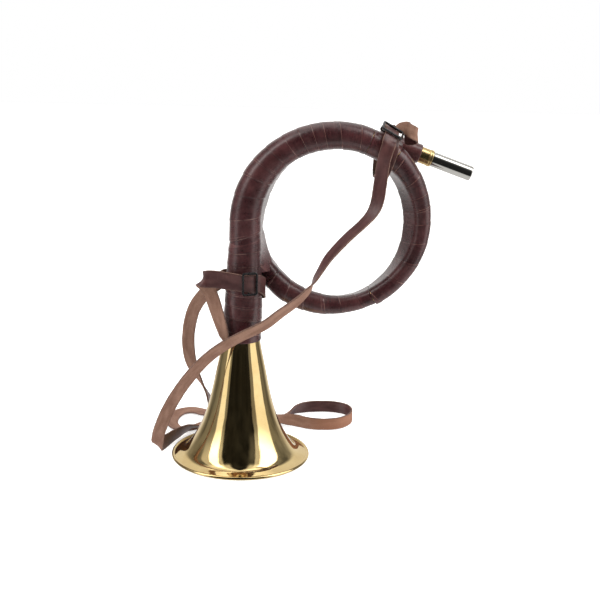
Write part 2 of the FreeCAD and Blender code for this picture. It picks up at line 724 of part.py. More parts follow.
STRAP_KEYS = (
    # upper tail
    strap_run(Vector, STRAP_WIDTH, [
        (124.6, 0.6, 262.8, -0.5, -0.62, -0.6, -3.0),
        (129.4, 1.8, 261.4, -0.45, -0.7, -0.55, -0.6),
        (134.6, 3.2, 263.6, -0.2, -0.8, -0.5, 0),
        (136.4, 4.6, 269.4, -0.3, -0.75, -0.45, 0),
        (133.2, 7.2, 275.2, -0.5, -0.62, -0.55, 0)])
    + strap_run(upper_place, STRAP_WIDTH, [
        (91.4, 12.8, 14.8, -0.75, -0.6, -0.2, 0),
        (87.8, 16.2, 13.0, -0.75, -0.62, 0.2, 0),
        (84.4, 17.1, 8.2, -0.84, -0.3, 0.42, 0),
        (83.0, 15.2, 4.0, -0.866, 0, 0.5, 0.4)])
    # inner layer over the upper bundle
    + strap_run(upper_arc, STRAP_WIDTH, [
        (-15, INNER_LAYER, 1.4, -0.866, 0, 0.5, 0.8),
        (0, INNER_LAYER, 1.6, -0.866, 0, 0.5, 1.2),
        (20, INNER_LAYER, 2.2, -0.866, 0, 0.5, 1.2),
        (40, INNER_LAYER, 3.2, -0.866, 0, 0.5, 1.2),
        (58, INNER_LAYER, 4.6, -0.866, 0, 0.5, 1.2)])
    # in front, inside the ring and back out behind
    + strap_run(upper_place, STRAP_WIDTH, [
        (74.0, -4.0, 6.4, -0.866, 0, 0.5, 1.0),
        (67.6, -5.2, 8.2, -0.866, 0.05, 0.5, 0.8),
        (59.4, -5.0, 10.0, -0.85, 0.1, 0.52, 0.6),
        (51.2, -1.6, 11.6, -0.85, 0.15, 0.5, 0.4),
        (46.4, 6.6, 12.8, -0.86, 0.1, 0.5, 0.4),
        (47.0, 17.6, 12.6, -0.86, 0, 0.5, 0.4),
        (51.8, 27.6, 10.6, -0.86, 0, 0.5, 0.4),
        (59.6, 34.8, 7.6, -0.866, 0, 0.5, 0.4),
        (68.8, 38.4, 4.6, -0.866, 0, 0.5, 0.4),
        (77.8, 36.8, 2.2, -0.866, 0, 0.5, 0.4),
        (83.2, 29.8, 1.2, -0.866, 0, 0.5, 0.4),
        (84.8, 20.6, 1.0, -0.866, 0, 0.5, 0.4)])
    # outer layer over the upper bundle
    + strap_run(upper_arc, STRAP_WIDTH, [
        (-15, OUTER_LAYER, 1.0, -0.866, 0, 0.5, 0.4),
        (0, OUTER_LAYER, 1.1, -0.866, 0, 0.5, 0.4),
        (20, OUTER_LAYER, 1.3, -0.866, 0, 0.5, 0.4),
        (40, OUTER_LAYER, 1.6, -0.866, 0, 0.5, 0.4),
        (58, OUTER_LAYER, 1.9, -0.87, 0, 0.49, 0.4)])
    + strap_run(Vector, STRAP_WIDTH, [
        # down across the front of the ring
        (113.6, -7.6, 262.2, -0.87, 0.25, 0.24, 0.2),
        (112.0, -8.8, 257.6, -0.90, 0.22, 0.23, 0.2),
        (110.6, -9.8, 252.3, -0.92, 0.36, 0.13, 0.2),
        (109.2, -10.8, 243.8, -0.93, 0.37, 0.09, 0.2),
        (108.3, -11.6, 236.0, -0.94, 0.34, 0.07, 0.2),
        (107.4, -12.4, 228.2, -0.96, 0.28, 0.09, 0.2),
        (106.5, -13.2, 221.2, -0.91, 0.39, 0.14, 0.2),
        (104.7, -14.0, 214.7, -0.79, 0.55, 0.26, 0.2),
        (101.1, -14.8, 208.3, -0.57, 0.75, 0.33, 0),
        (94.2, -15.8, 200.7, -0.41, 0.86, 0.30, 0),
        (85.0, -16.8, 192.1, -0.40, 0.86, 0.31, 0),
        (75.8, -17.8, 182.4, -0.41, 0.87, 0.28, 0),
        (68.5, -18.7, 173.6, -0.40, 0.89, 0.20, 0),
        (62.8, -19.5, 164.1, -0.30, 0.95, 0.09, 0),
        (58.3, -20.2, 156.3, -0.15, 0.99, 0, 0),
        (53.8, -20.9, 148.6, 0.35, 0.88, -0.33, 0),
        (48.0, -21.4, 141.9, 0.42, 0.77, -0.48, 0),
        (40.9, -21.9, 135.8, 0.43, 0.67, -0.61, 0),
        (31.6, -22.6, 128.9, 0.45, 0.62, -0.64, 0),
        (19.8, -23.3, 119.6, 0.41, 0.57, -0.71, 0),
        # past the branch and down to the left of the bell
        (0.0, -24.1, 109.3, 0.41, 0.53, -0.75, 0),
        (-15.9, -24.2, 99.5, 0.52, 0.49, -0.70, 0),
        (-29.3, -23.9, 87.8, 0.65, 0.45, -0.61, 0),
        (-41.4, -22.8, 73.1, 0.77, 0.35, -0.54, 0),
        (-51.4, -21.0, 57.9, 0.84, 0.30, -0.45, 0),
        (-59.7, -18.6, 41.7, 0.91, 0.21, -0.37, 0),
        (-65.4, -15.6, 26.5, 0.94, 0.14, -0.32, 0),
        (-67.2, -12.6, 19.8, 0.88, 0.00, -0.46, 0),
        (-68.4, -8.6, 11.6, 0.82, 0.10, -0.58, 0),
        # along the table, round behind the bell
        (-68.2, -3.2, 7.0, 0.66, 0.16, -0.74, 0),
        (-65.7, 4.2, 6.2, 0.46, 0.20, -0.87, 0),
        (-62.4, 12.4, 6.1, 0.28, 0.25, -0.93, 0),
        (-58.6, 21.4, 6.1, 0.12, 0.30, -0.95, 0),
        (-54.0, 31.2, 5.8, 0.00, 0.42, -0.91, 0),
        (-47.4, 42.4, 4.8, -0.14, 0.62, -0.77, 0),
        (-36.8, 53.6, 2.6, -0.50, 0.78, -0.36, 0),
        (-22.8, 62.4, 1.5, -0.3, 0.94, -0.12, 0),
        (-5.8, 66.6, 1.2, -0.1, 0.99, 0.0, 0),
        (11.2, 69.0, 1.2, -0.2, 0.97, 0.0, 0),
        (25.2, 74.6, 1.4, -0.5, 0.84, -0.06, 0),
        # bend at the right
        (34.6, 84.0, 2.6, -0.6, 0.66, -0.42, 0),
        (43.2, 93.6, 5.0, -0.3, 0.36, -0.88, 0),
        (53.8, 100.4, 5.8, -0.05, 0.08, -0.99, 0),
        (66.2, 103.6, 5.8, 0, 0, -1.0, 0),
        (80.2, 103.0, 5.8, 0, 0, -1.0, 0),
        (91.2, 96.6, 5.8, 0, 0, -1.0, 0),
        (95.6, 85.0, 5.8, 0, 0, -1.0, 0),
        (93.0, 72.0, 5.8, 0, 0, -1.0, 0),
        (84.2, 61.8, 5.8, 0, 0, -1.0, 0),
        (70.8, 57.8, 5.8, 0, 0, -1.0, 0),
        (56.8, 59.4, 6.0, 0.0, -0.1, -0.99, 0),
        # back to the left
        (44.2, 64.4, 6.6, -0.06, -0.42, -0.9, 0),
        (30.2, 70.6, 5.6, -0.3, -0.90, -0.32, 0),
        (14.2, 76.6, 5.0, -0.3, -0.95, 0.0, 0),
        (-3.8, 79.6, 3.4, 0.0, -1.0, 0.1, 0),
        (-19.8, 75.6, 2.2, 0.35, -0.92, 0.1, 0),
        (-32.2, 66.4, 1.8, 0.66, -0.72, 0.05, 0),
        # bend at the left
        (-41.4, 56.0, 1.8, 0.66, -0.72, 0.05, 0),
        (-49.4, 49.6, 1.9, 0.3, -0.93, 0.12, 0),
        (-57.0, 51.0, 2.0, -0.5, -0.84, 0.15, 0),
        (-62.4, 59.0, 2.1, -0.9, -0.40, 0.15, 0),
        (-64.2, 70.0, 2.1, -0.98, 0.0, 0.15, 0),
        (-62.8, 82.0, 2.1, -0.95, 0.28, 0.15, 0),
        (-58.2, 92.0, 2.1, -0.70, 0.70, 0.12, 0),
        (-50.2, 96.4, 2.2, -0.05, 0.99, 0.12, 0),
        (-42.4, 92.4, 2.9, 0.60, 0.78, 0.12, 0),
        # up behind the bell and along its left side to the branch
        (-35.8, 83.0, 5.0, 0.80, 0.58, 0.2, 0),
        (-31.2, 72.0, 9.6, 0.75, 0.62, 0.3, 0),
        (-29.0, 60.6, 17.4, 0.50, 0.74, 0.45, 0),
        (-29.4, 51.0, 27.0, 0.16, 0.90, 0.42, 0),
        (-32.0, 44.0, 38.0, -0.18, 0.93, 0.32, 0),
        (-36.0, 38.0, 49.0, -0.5, 0.84, 0.2, 0),
        (-40.6, 32.4, 60.0, -0.80, 0.58, 0.05, 0),
        (-43.6, 26.0, 72.0, -0.93, 0.34, -0.05, 0),
        (-44.8, 18.6, 86.0, -0.98, 0.16, 0.0, 0),
        (-44.4, 12.6, 99.0, -0.99, 0.10, 0.06, 0),
        (-42.4, 7.2, 112.0, -0.98, 0.06, 0.18, 0),
        (-38.6, 2.0, 125.0, -0.93, 0.03, 0.36, 0),
        (-32.4, -1.8, 135.6, -0.80, 0.0, 0.60, 0),
        (-25.2, -2.4, 143.4, -0.60, 0.0, 0.80, 0.8),
        (-18.4, 0.6, 148.6, -0.38, 0.0, 0.92, 2.0)])
    # round the back of the branch to its front
    + strap_run(lower_arc, END_WIDTH, [
        (-114, 17.4, 150.4, -0.15, 0, 0.99, -0.8),
        (-140, 16.9, 148.6, -0.02, 0, 1, -0.4),
        (-165, 16.9, 144.6, 0, 0, 1, -0.4),
        (-190, 16.9, 141.4, 0, 0, 1, -0.4),
        (-212, 16.9, 139.8, 0, 0, 1, -0.4),
        (-233, 16.9, 139.6, 0, 0, 1, -0.4),
        (-256, 16.9, 141.6, 0, 0, 1, -0.4),
        (-280, 16.9, 145.6, 0, 0, 1, -0.4),
        (-302, 17.2, 149.0, 0, 0, 1, -0.4),
        (45, 17.85, 150.7, 0, 0, 1, -0.4),
        (33, 18.0, 151.2, 0, 0, 1, -0.4),
        (21, 18.0, 151.5, 0, 0, 1, -0.4),
        (9, 18.0, 151.7, 0, 0, 1, -0.4),
        (-3, 18.0, 152.0, 0, 0, 1, -0.4),
        (-13, 18.0, 152.4, 0, 0, 1, -0.3)])
    # turned down at the left into the lower tail
    + strap_run(Vector, END_WIDTH, [
        (-11.2, -15.9, 153.2, 0.05, 0, 1, 0),
        (-19.4, -14.6, 153.9, 0.10, 0, 1, 0),
        (-25.8, -13.8, 153.9, 0.25, 0, 0.97, 0),
        (-30.2, -12.4, 152.8, 0.50, 0, 0.86, -0.4),
        (-31.0, -10.2, 151.2, 0.70, 0, 0.71, -0.8),
        (-29.0, -8.6, 148.4, 0.86, 0.0, 0.50, -1.4),
        (-26.2, -8.8, 144.4, 0.93, -0.02, 0.37, -2.2)])
    + strap_run(Vector, STRAP_WIDTH, [
        (-22.8, -10.4, 136.6, 0.94, -0.1, 0.33, 0.6),
        (-19.4, -12.8, 127.0, 0.92, -0.22, 0.31, 0.4),
        (-16.0, -14.9, 117.0, 0.87, -0.38, 0.30, 0),
        (-13.4, -16.1, 109.0, 0.86, -0.42, 0.28, -1.4),
        (-12.0, -16.5, 104.6, 0.86, -0.42, 0.28, -5.0)])
    + strap_run(Vector, TIP_WIDTH, [(-11.4, -16.6, 102.6, 0.86, -0.42, 0.28, 0)]))


def spline_point(knots, values, i, knot):
    """Catmull-Rom curve through vectors at uneven knots, between values i and i + 1."""
    start, end = values[i], values[i + 1]
    span = knots[i + 1] - knots[i]
    chord = (end - start) * (1.0 / span)
    start_slope = end_slope = chord
    if i > 0:
        gap = knots[i] - knots[i - 1]
        before = (start - values[i - 1]) * (1.0 / gap)
        start_slope = (chord * gap + before * span) * (1.0 / (gap + span))
    if i + 2 < len(values):
        gap = knots[i + 2] - knots[i + 1]
        after = (values[i + 2] - end) * (1.0 / gap)
        end_slope = (after * span + chord * gap) * (1.0 / (gap + span))
    u = (knot - knots[i]) / span
    return (start * (2 * u ** 3 - 3 * u * u + 1)
            + start_slope * (span * (u ** 3 - 2 * u * u + u))
            + end * (3 * u * u - 2 * u ** 3)
            + end_slope * (span * (u ** 3 - u * u)))


def strap_samples(keys):
    """Close samples along the strap: centre, width direction, face normal, width."""
    points, directions, key_widths = zip(*keys)
    knots = [0.0]
    for start, end in zip(points, points[1:]):
        knots.append(knots[-1] + sqrt((end - start).Length))
    centres, acrosses, widths = [], [], []
    for i in range(len(points) - 1):
        count = max(2, int(round((points[i + 1] - points[i]).Length / SAMPLE_STEP)))
        for j in range(count):
            knot = knots[i] + (knots[i + 1] - knots[i]) * j / count
            centres.append(spline_point(knots, points, i, knot))
            acrosses.append(spline_point(knots, directions, i, knot))
            widths.append(eased(key_widths[i], key_widths[i + 1], j / float(count)))
    centres.append(points[-1])
    acrosses.append(directions[-1])
    widths.append(key_widths[-1])

    samples = []
    last = len(centres) - 1
    for i, width in enumerate(widths):
        # the previous centre is the one already lifted clear of the table
        travel = centres[min(i + 1, last)] - centres[max(i - 1, 0)]
        travel = travel * (1.0 / travel.Length)
        across = acrosses[i] - travel * acrosses[i].dot(travel)
        across = across * (1.0 / across.Length)
        normal = travel.cross(across)
        lowest = (centres[i].z - abs(across.z) * width / 2.0
                  - abs(normal.z) * STRAP_THICK / 2.0)
        if lowest < TABLE_GAP:
            centres[i] = centres[i] + Vector(0, 0, TABLE_GAP - lowest)
        samples.append((centres[i], across, normal, width))
    return samples


def strap_solid(samples):
    """Four long edge curves, ruled faces between them and a flat face at each end."""
    pieces = 48
    parameters = [0.0]
    for sample, following in zip(samples, samples[1:]):
        parameters.append(parameters[-1] + (following[0] - sample[0]).Length)
    last = len(parameters) - 1
    cuts = [parameters[last * i // pieces] for i in range(pieces + 1)]
    # side of the width and side of the thickness, in order round the section
    edges = []
    for side, face in ((1, 1), (-1, 1), (-1, -1), (1, -1)):
        points = [middle + across * (side * width / 2.0) + normal * (face * STRAP_THICK / 2.0)
                  for middle, across, normal, width in samples]
        curve = Part.BSplineCurve()
        curve.interpolate(Points=points, Parameters=parameters)
        edges.append([curve.toShape(start, end) for start, end in zip(cuts, cuts[1:])])
    faces = []
    for row, next_row in zip(edges, edges[1:] + edges[:1]):
        for edge, next_edge in zip(row, next_row):
            faces.append(Part.makeRuledSurface(edge, next_edge, 1))
    for end in (0, -1):
        corners = [row[end].Vertexes[end].Point for row in edges]
        faces.append(Part.Face(Part.makePolygon(corners + corners[:1])))
    shell = Part.Shell(faces)
    shell.sewShape()
    solid = Part.Solid(shell)
    if solid.Volume < 0:
        solid = solid.reversed()
    # sewing may leave small gaps
    if not solid.isValid():
        solid.fix(1e-4, 1e-4, 1e-3)
    return solid


add_shape("shoulder_strap", strap_solid(strap_samples(STRAP_KEYS)))


# ---------------------------------------------------------------- strap slides
def slide_frame(label, placement):
    """Rectangular frame of square wire, padded from two centred rectangles."""
    body, sketch = body_with_sketch(label, "XY_Plane", label + "_outline")
    opening = " - dims.slide_wire - dims.slide_wire"
    for width, height in (("dims.slide_x", "dims.slide_z"),
                          ("dims.slide_x" + opening, "dims.slide_z" + opening)):
        x, y = cell_value(width) / 2, cell_value(height) / 2
        lines = closed_outline(sketch, [(-x, -y), (x, -y), (x, y), (-x, y)])
        for i in (0, 2):
            sketch.addConstraint(Sketcher.Constraint("Horizontal", lines[i]))
            sketch.addConstraint(Sketcher.Constraint("Vertical", lines[i + 1]))
        sketch.addConstraint(
            Sketcher.Constraint("Symmetric", lines[0], 1, lines[2], 1, -1, 1))
        bind(sketch, "DistanceX", (lines[0], 1, lines[0], 2), width)
        bind(sketch, "DistanceY", (lines[1], 1, lines[1], 2), height)
    pad = body.newObject("PartDesign::Pad", label + "_pad")
    pad.Profile = sketch
    pad.Length = dim("slide_wire")
    pad.setExpression("Length", "dims.slide_wire")
    pad.Midplane = True
    body.Tip = pad
    body.Placement = placement
    doc.recompute()
    keep(body, label)


def slide(prefix, middle, outward, sideways, bar_distance, frame_distance):
    """Frame over the strap and a round bar under it, with legs reaching out to the frame.

    Distances are from the middle of the loop, in the outward direction.
    """
    along = outward.cross(sideways)
    base = middle + outward * frame_distance
    slide_frame(prefix + "_frame", FreeCAD.Placement(FreeCAD.Matrix(
        sideways.x, along.x, outward.x, base.x,
        sideways.y, along.y, outward.y, base.y,
        sideways.z, along.z, outward.z, base.z,
        0, 0, 0, 1)))

    radius = dim("slide_bar_wire") / 2
    half_length = dim("slide_z") / 2 - dim("slide_wire") / 2
    leg_length = frame_distance - dim("slide_wire") / 2 - 0.03 - bar_distance
    bar_middle = middle + outward * bar_distance
    bar = Part.makeCylinder(radius, 2 * half_length, bar_middle - along * half_length, along)
    for side in (1, -1):
        end = bar_middle + along * (half_length * side)
        bar = bar.fuse(Part.makeSphere(radius, end))
        bar = bar.fuse(Part.makeCylinder(radius, leg_length, end, outward))
    add_shape(prefix + "_bar", bar.removeSplitter())


# the lower slide faces a little to the right of the front, the upper one outward
# and a little to the front
turn = radians(17)
slide("lower_slide", Vector(LOWER_X, 0, LOWER_Z),
      outward=Vector(sin(turn), -cos(turn), 0), sideways=Vector(cos(turn), sin(turn), 0),
      bar_distance=16.35, frame_distance=19.3)
turn = radians(20)
slide("upper_slide", upper_place(UPPER_RADIUS, UPPER_Y, 1.0),
      outward=UPPER_OUT * cos(turn) + Vector(0, -1, 0) * sin(turn),
      sideways=UPPER_OUT * sin(turn) + Vector(0, 1, 0) * cos(turn),
      bar_distance=11.75, frame_distance=16.5)

# ---------------------------------------------------------------- checks and files
doc.recompute()
for item in doc.Objects:
    if "Invalid" in item.State or "Error" in item.State:
        raise RuntimeError("failed: " + item.Name)
if len(set(part.Label for part in parts)) < len(parts):
    raise RuntimeError("label used twice")
for part in parts:
    if part.Shape.isNull() or not part.Shape.isValid() or part.Shape.Volume <= 0:
        raise RuntimeError("no good shape: " + part.Label)
os.makedirs("parts", exist_ok=True)
for part in parts:
    part.Shape.exportStep("parts/" + part.Label + ".step")
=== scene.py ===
import bpy
import bmesh
import math
from math import sin, cos, pi, radians, sqrt
import numpy as np
from mathutils import Vector, Matrix


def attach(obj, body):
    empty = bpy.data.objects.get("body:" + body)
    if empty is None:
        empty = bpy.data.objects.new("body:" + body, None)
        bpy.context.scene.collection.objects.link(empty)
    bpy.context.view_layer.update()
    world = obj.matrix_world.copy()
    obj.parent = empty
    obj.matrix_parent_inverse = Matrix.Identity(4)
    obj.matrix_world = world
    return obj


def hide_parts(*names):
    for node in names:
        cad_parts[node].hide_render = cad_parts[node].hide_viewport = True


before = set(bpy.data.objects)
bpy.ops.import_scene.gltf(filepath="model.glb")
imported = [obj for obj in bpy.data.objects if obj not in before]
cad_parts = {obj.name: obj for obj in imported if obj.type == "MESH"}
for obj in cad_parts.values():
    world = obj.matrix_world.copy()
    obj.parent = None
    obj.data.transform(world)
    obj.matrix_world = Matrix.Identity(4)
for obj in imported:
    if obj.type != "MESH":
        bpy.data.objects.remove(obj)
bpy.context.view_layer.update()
MM = 0.001

# ---------------------------------------------------------------- driving dimensions
RING_X, RING_Z = 73.8, 199.4    # centre of the turns

# (height, outer radius) of the bell and its upright branch
BELL_OUTLINE = [
    (3.05, 51.9), (4.0, 49.0), (5.6, 46.5), (8, 44.2), (14, 39.9), (22, 35.3), (32, 30.9),
    (45, 26.7), (60, 23.2), (78, 19.6), (88, 17.5), (95, 16.15), (100, 15.45), (106, 15.05),
    (120, 14.65), (134, 14.3), (151.5, 13.5), (165, 12.8), (180, 12.15), (192, 11.75),
    (200, 11.6)]
# (height, x of the branch centre)
BRANCH_X = [(100, 0.0), (107, 0.0), (120, 1.0), (134, 1.5), (160, 1.75), (185, 2.3), (200, 2.3)]

# Ring angles run clockwise from the left, seen from the front, in degrees.
# (ring angle, radius of the first turn)
TURN1_RADIUS = [
    (0, 71.5), (45, 70.0), (90, 68.5), (135, 69.0), (180, 70.0), (225, 70.6), (270, 71.3),
    (300, 70.9), (325, 69.4), (340, 67.2), (360, 62.0)]
# (ring angle, radius of the leather skin round the first turn's tube)
TURN1_SKIN = [
    (0, 12.95), (30, 12.5), (54, 11.6), (90, 11.3), (120, 11.0), (150, 9.0), (180, 7.6),
    (204, 7.5), (228, 7.5), (240, 7.35), (246, 7.0), (264, 7.6), (276, 8.6), (288, 9.3),
    (300, 9.6), (312, 9.4), (325, 7.2), (340, 6.2), (360, 5.9)]
# (ring angle counted on through all turns, y of the tube centre)
DEPTH = [
    (0, 0.0), (20, 0.15), (60, 2.0), (120, 7.0), (180, 10.0), (240, 10.6), (290, 11.2),
    (312, 12.6), (326, 15.2), (340, 18.2), (360, 18.9), (450, 20.6), (540, 23.0), (630, 25.2),
    (680, 27.0), (700, 28.4), (720, 29.0), (760, 28.6), (800, 27.6), (829.6, 27.4)]
# The second turn is an ellipse: half width, half height, rise of its centre.
TURN2_HALF_X, TURN2_HALF_Z, TURN2_RISE = 61.5, 68.2, -4.75
SKIN_R = 5.9           # skin round the second and third turns
BRANCH_SKIN = 1.35     # skin thickness on the branch

# The straight mouthpipe leaves the third turn along a tangent, to the right and a little down.
EXIT_ANGLE, EXIT_RADIUS, PIPE_Y = 70.4, 71.1, 27.4
EXIT_TAU = 720 + 180 - EXIT_ANGLE
_exit = radians(EXIT_ANGLE)
EXIT_POINT = np.array([RING_X + EXIT_RADIUS * cos(_exit), PIPE_Y,
                       RING_Z + EXIT_RADIUS * sin(_exit)])
EXIT_DIR = np.array([sin(_exit), 0, -cos(_exit)])


def smooth01(x):
    x = np.clip(x, 0, 1)
    return x * x * (3 - 2 * x)


def hermite(table, x):
    """Smooth curve through a table of (x, value) that never overshoots; flat past its ends."""
    last = len(table) - 1
    if x <= table[0][0]:
        return table[0][1]
    if x >= table[-1][0]:
        return table[-1][1]
    k = 0
    while table[k + 1][0] < x:
        k += 1

    def chord(i):
        return (table[i + 1][1] - table[i][1]) / (table[i + 1][0] - table[i][0])

    def slope(i):
        if i == 0:
            return chord(0)
        if i == last:
            return chord(last - 1)
        a, b = chord(i - 1), chord(i)
        return 0.0 if a * b <= 0 else 2 * a * b / (a + b)

    (x0, y0), (x1, y1) = table[k], table[k + 1]
    width = x1 - x0
    f = (x - x0) / width
    m0, m1 = slope(k) * width, slope(k + 1) * width
    return ((2 * f ** 3 - 3 * f * f + 1) * y0 + (f ** 3 - 2 * f * f + f) * m0
            + (3 * f * f - 2 * f ** 3) * y1 + (f ** 3 - f * f) * m1)


# ---------------------------------------------------------------- course of the turns
def turn_radius(tau):
    """Distance of the tube centre from the ring centre, tau counted on through all turns."""
    angle = radians(180 - tau)
    c, s = cos(angle), sin(angle)
    qa = c * c / TURN2_HALF_X ** 2 + s * s / TURN2_HALF_Z ** 2
    qb = -2 * s * TURN2_RISE / TURN2_HALF_Z ** 2
    qc = TURN2_RISE ** 2 / TURN2_HALF_Z ** 2 - 1
    ellipse = (-qb + sqrt(qb * qb - 4 * qa * qc)) / (2 * qa)
    if tau <= 300:
        return hermite(TURN1_RADIUS, tau)
    if tau <= 380:
        f = smooth01((tau - 300) / 80.0)
        return hermite(TURN1_RADIUS, min(tau, 330)) * (1 - f) + ellipse * f
    if tau <= 650:
        return ellipse
    if tau <= 735:
        f = smooth01((tau - 650) / 85.0)
        return ellipse * (1 - f) + EXIT_RADIUS * f
    return EXIT_RADIUS


# Each turn gives (distance from the ring centre, y, skin radius) at a ring angle.
def first_turn(tau):
    if tau < 0:    # below the ring's left end: the upright branch
        lean = radians(-tau)
        z = RING_Z - (RING_X - BRANCH_X[-1][1]) / cos(lean) * sin(lean)
        radius = (RING_X - hermite(BRANCH_X, z)) / cos(lean)
        return (radius, 0.0, hermite(BELL_OUTLINE, z) + BRANCH_SKIN)
    return (turn_radius(tau), hermite(DEPTH, tau), hermite(TURN1_SKIN, tau))


def second_turn(tau):
    return (turn_radius(tau + 360), hermite(DEPTH, tau + 360), SKIN_R)


def third_turn(tau):
    total = tau + 720
    if total <= EXIT_TAU:
        return (turn_radius(total), hermite(DEPTH, total), SKIN_R)
    # past the exit: where the straight pipe crosses this ring angle
    angle = radians(180 - tau)
    x, z = EXIT_POINT[0] - RING_X, EXIT_POINT[2] - RING_Z
    run = ((sin(angle) * x - cos(angle) * z)
           / (cos(angle) * EXIT_DIR[2] - sin(angle) * EXIT_DIR[0]))
    x, z = x + EXIT_DIR[0] * run, z + EXIT_DIR[2] * run
    return (sqrt(x * x + z * z), PIPE_Y, SKIN_R)


# ---------------------------------------------------------------- shader graph helper
class Graph:
    def __init__(self, tree):
        self.tree = tree
        tree.nodes.clear()

    def put(self, socket, value):
        if isinstance(value, bpy.types.NodeSocket):
            self.tree.links.new(value, socket)
        elif value is not None:
            socket.default_value = value

    def fill(self, node, inputs):
        for key, value in inputs.items():
            self.put(node.inputs[key], value)

    def node(self, kind, inputs={}, **settings):
        node = self.tree.nodes.new(kind)
        for key, value in settings.items():
            setattr(node, key, value)
        self.fill(node, inputs)
        return node

    def math(self, operation, a, b=None, clamp=False):
        return self.node("ShaderNodeMath", {0: a, 1: b}, operation=operation,
                         use_clamp=clamp).outputs[0]

    def mul(self, a, by):
        return self.math("MULTIPLY", a, by)

    def add(self, a, b, clamp=False):
        return self.math("ADD", a, b, clamp)

    def sub(self, a, b, clamp=False):
        return self.math("SUBTRACT", a, b, clamp)

    def ramp(self, value, lo, hi, out=(0.0, 1.0)):
        """Smooth step from out[0] at lo to out[1] at hi."""
        inputs = {"Value": value, "From Min": lo, "From Max": hi,
                  "To Min": out[0], "To Max": out[1]}
        return self.node("ShaderNodeMapRange", inputs, interpolation_type="SMOOTHSTEP",
                         clamp=True).outputs["Result"]

    def near(self, value, centre, lo, hi):
        """1 within lo of the centre, fading to 0 at hi."""
        return self.ramp(self.math("ABSOLUTE", self.sub(value, centre)), lo, hi, out=(1.0, 0.0))

    def mix(self, mask, a, b, amount=None):
        """Blend colour a towards b by the mask, times the amount if one is given."""
        if amount is not None:
            mask = self.mul(mask, by=amount)
        a, b = (v + (1.0,) if isinstance(v, tuple) else v for v in (a, b))
        return self.node("ShaderNodeMix", {0: mask, 6: a, 7: b}, data_type="RGBA",
                         blend_type="MIX").outputs[2]

    def noise(self, vector, scale=1.0, detail=3.0, rough=0.55, warp=0.0):
        inputs = {"Vector": vector, "Scale": scale, "Detail": detail, "Roughness": rough,
                  "Distortion": warp}
        return self.node("ShaderNodeTexNoise", inputs).outputs["Fac"]

    def vector(self, x, y, z):
        """Vector whose parts are numbers or (socket, factor) pairs."""
        parts = [self.mul(*v) if isinstance(v, tuple) else v for v in (x, y, z)]
        return self.node("ShaderNodeCombineXYZ", dict(enumerate(parts))).outputs[0]

    def split(self, vector):
        return self.node("ShaderNodeSeparateXYZ", {0: vector}).outputs

    def bump(self, height, strength, distance, normal=None):
        inputs = {"Height": height, "Strength": strength, "Distance": distance,
                  "Normal": normal}
        return self.node("ShaderNodeBump", inputs).outputs[0]

    def uv(self, name):
        parts = self.split(self.node("ShaderNodeUVMap", uv_map=name).outputs[0])
        return parts[0], parts[1]


# ---------------------------------------------------------------- materials
def new_material(name):
    """Material with a principled shader: material, graph, shader node, position socket."""
    material = bpy.data.materials.new(name)
    material.use_nodes = True
    g = Graph(material.node_tree)
    output = g.node("ShaderNodeOutputMaterial")
    shader = g.node("ShaderNodeBsdfPrincipled")
    g.put(output.inputs[0], shader.outputs[0])
    pos = g.node("ShaderNodeNewGeometry").outputs["Position"]
    return material, g, shader, pos


def scaled_colour(colour, factor):
    return tuple(part * factor for part in colour)


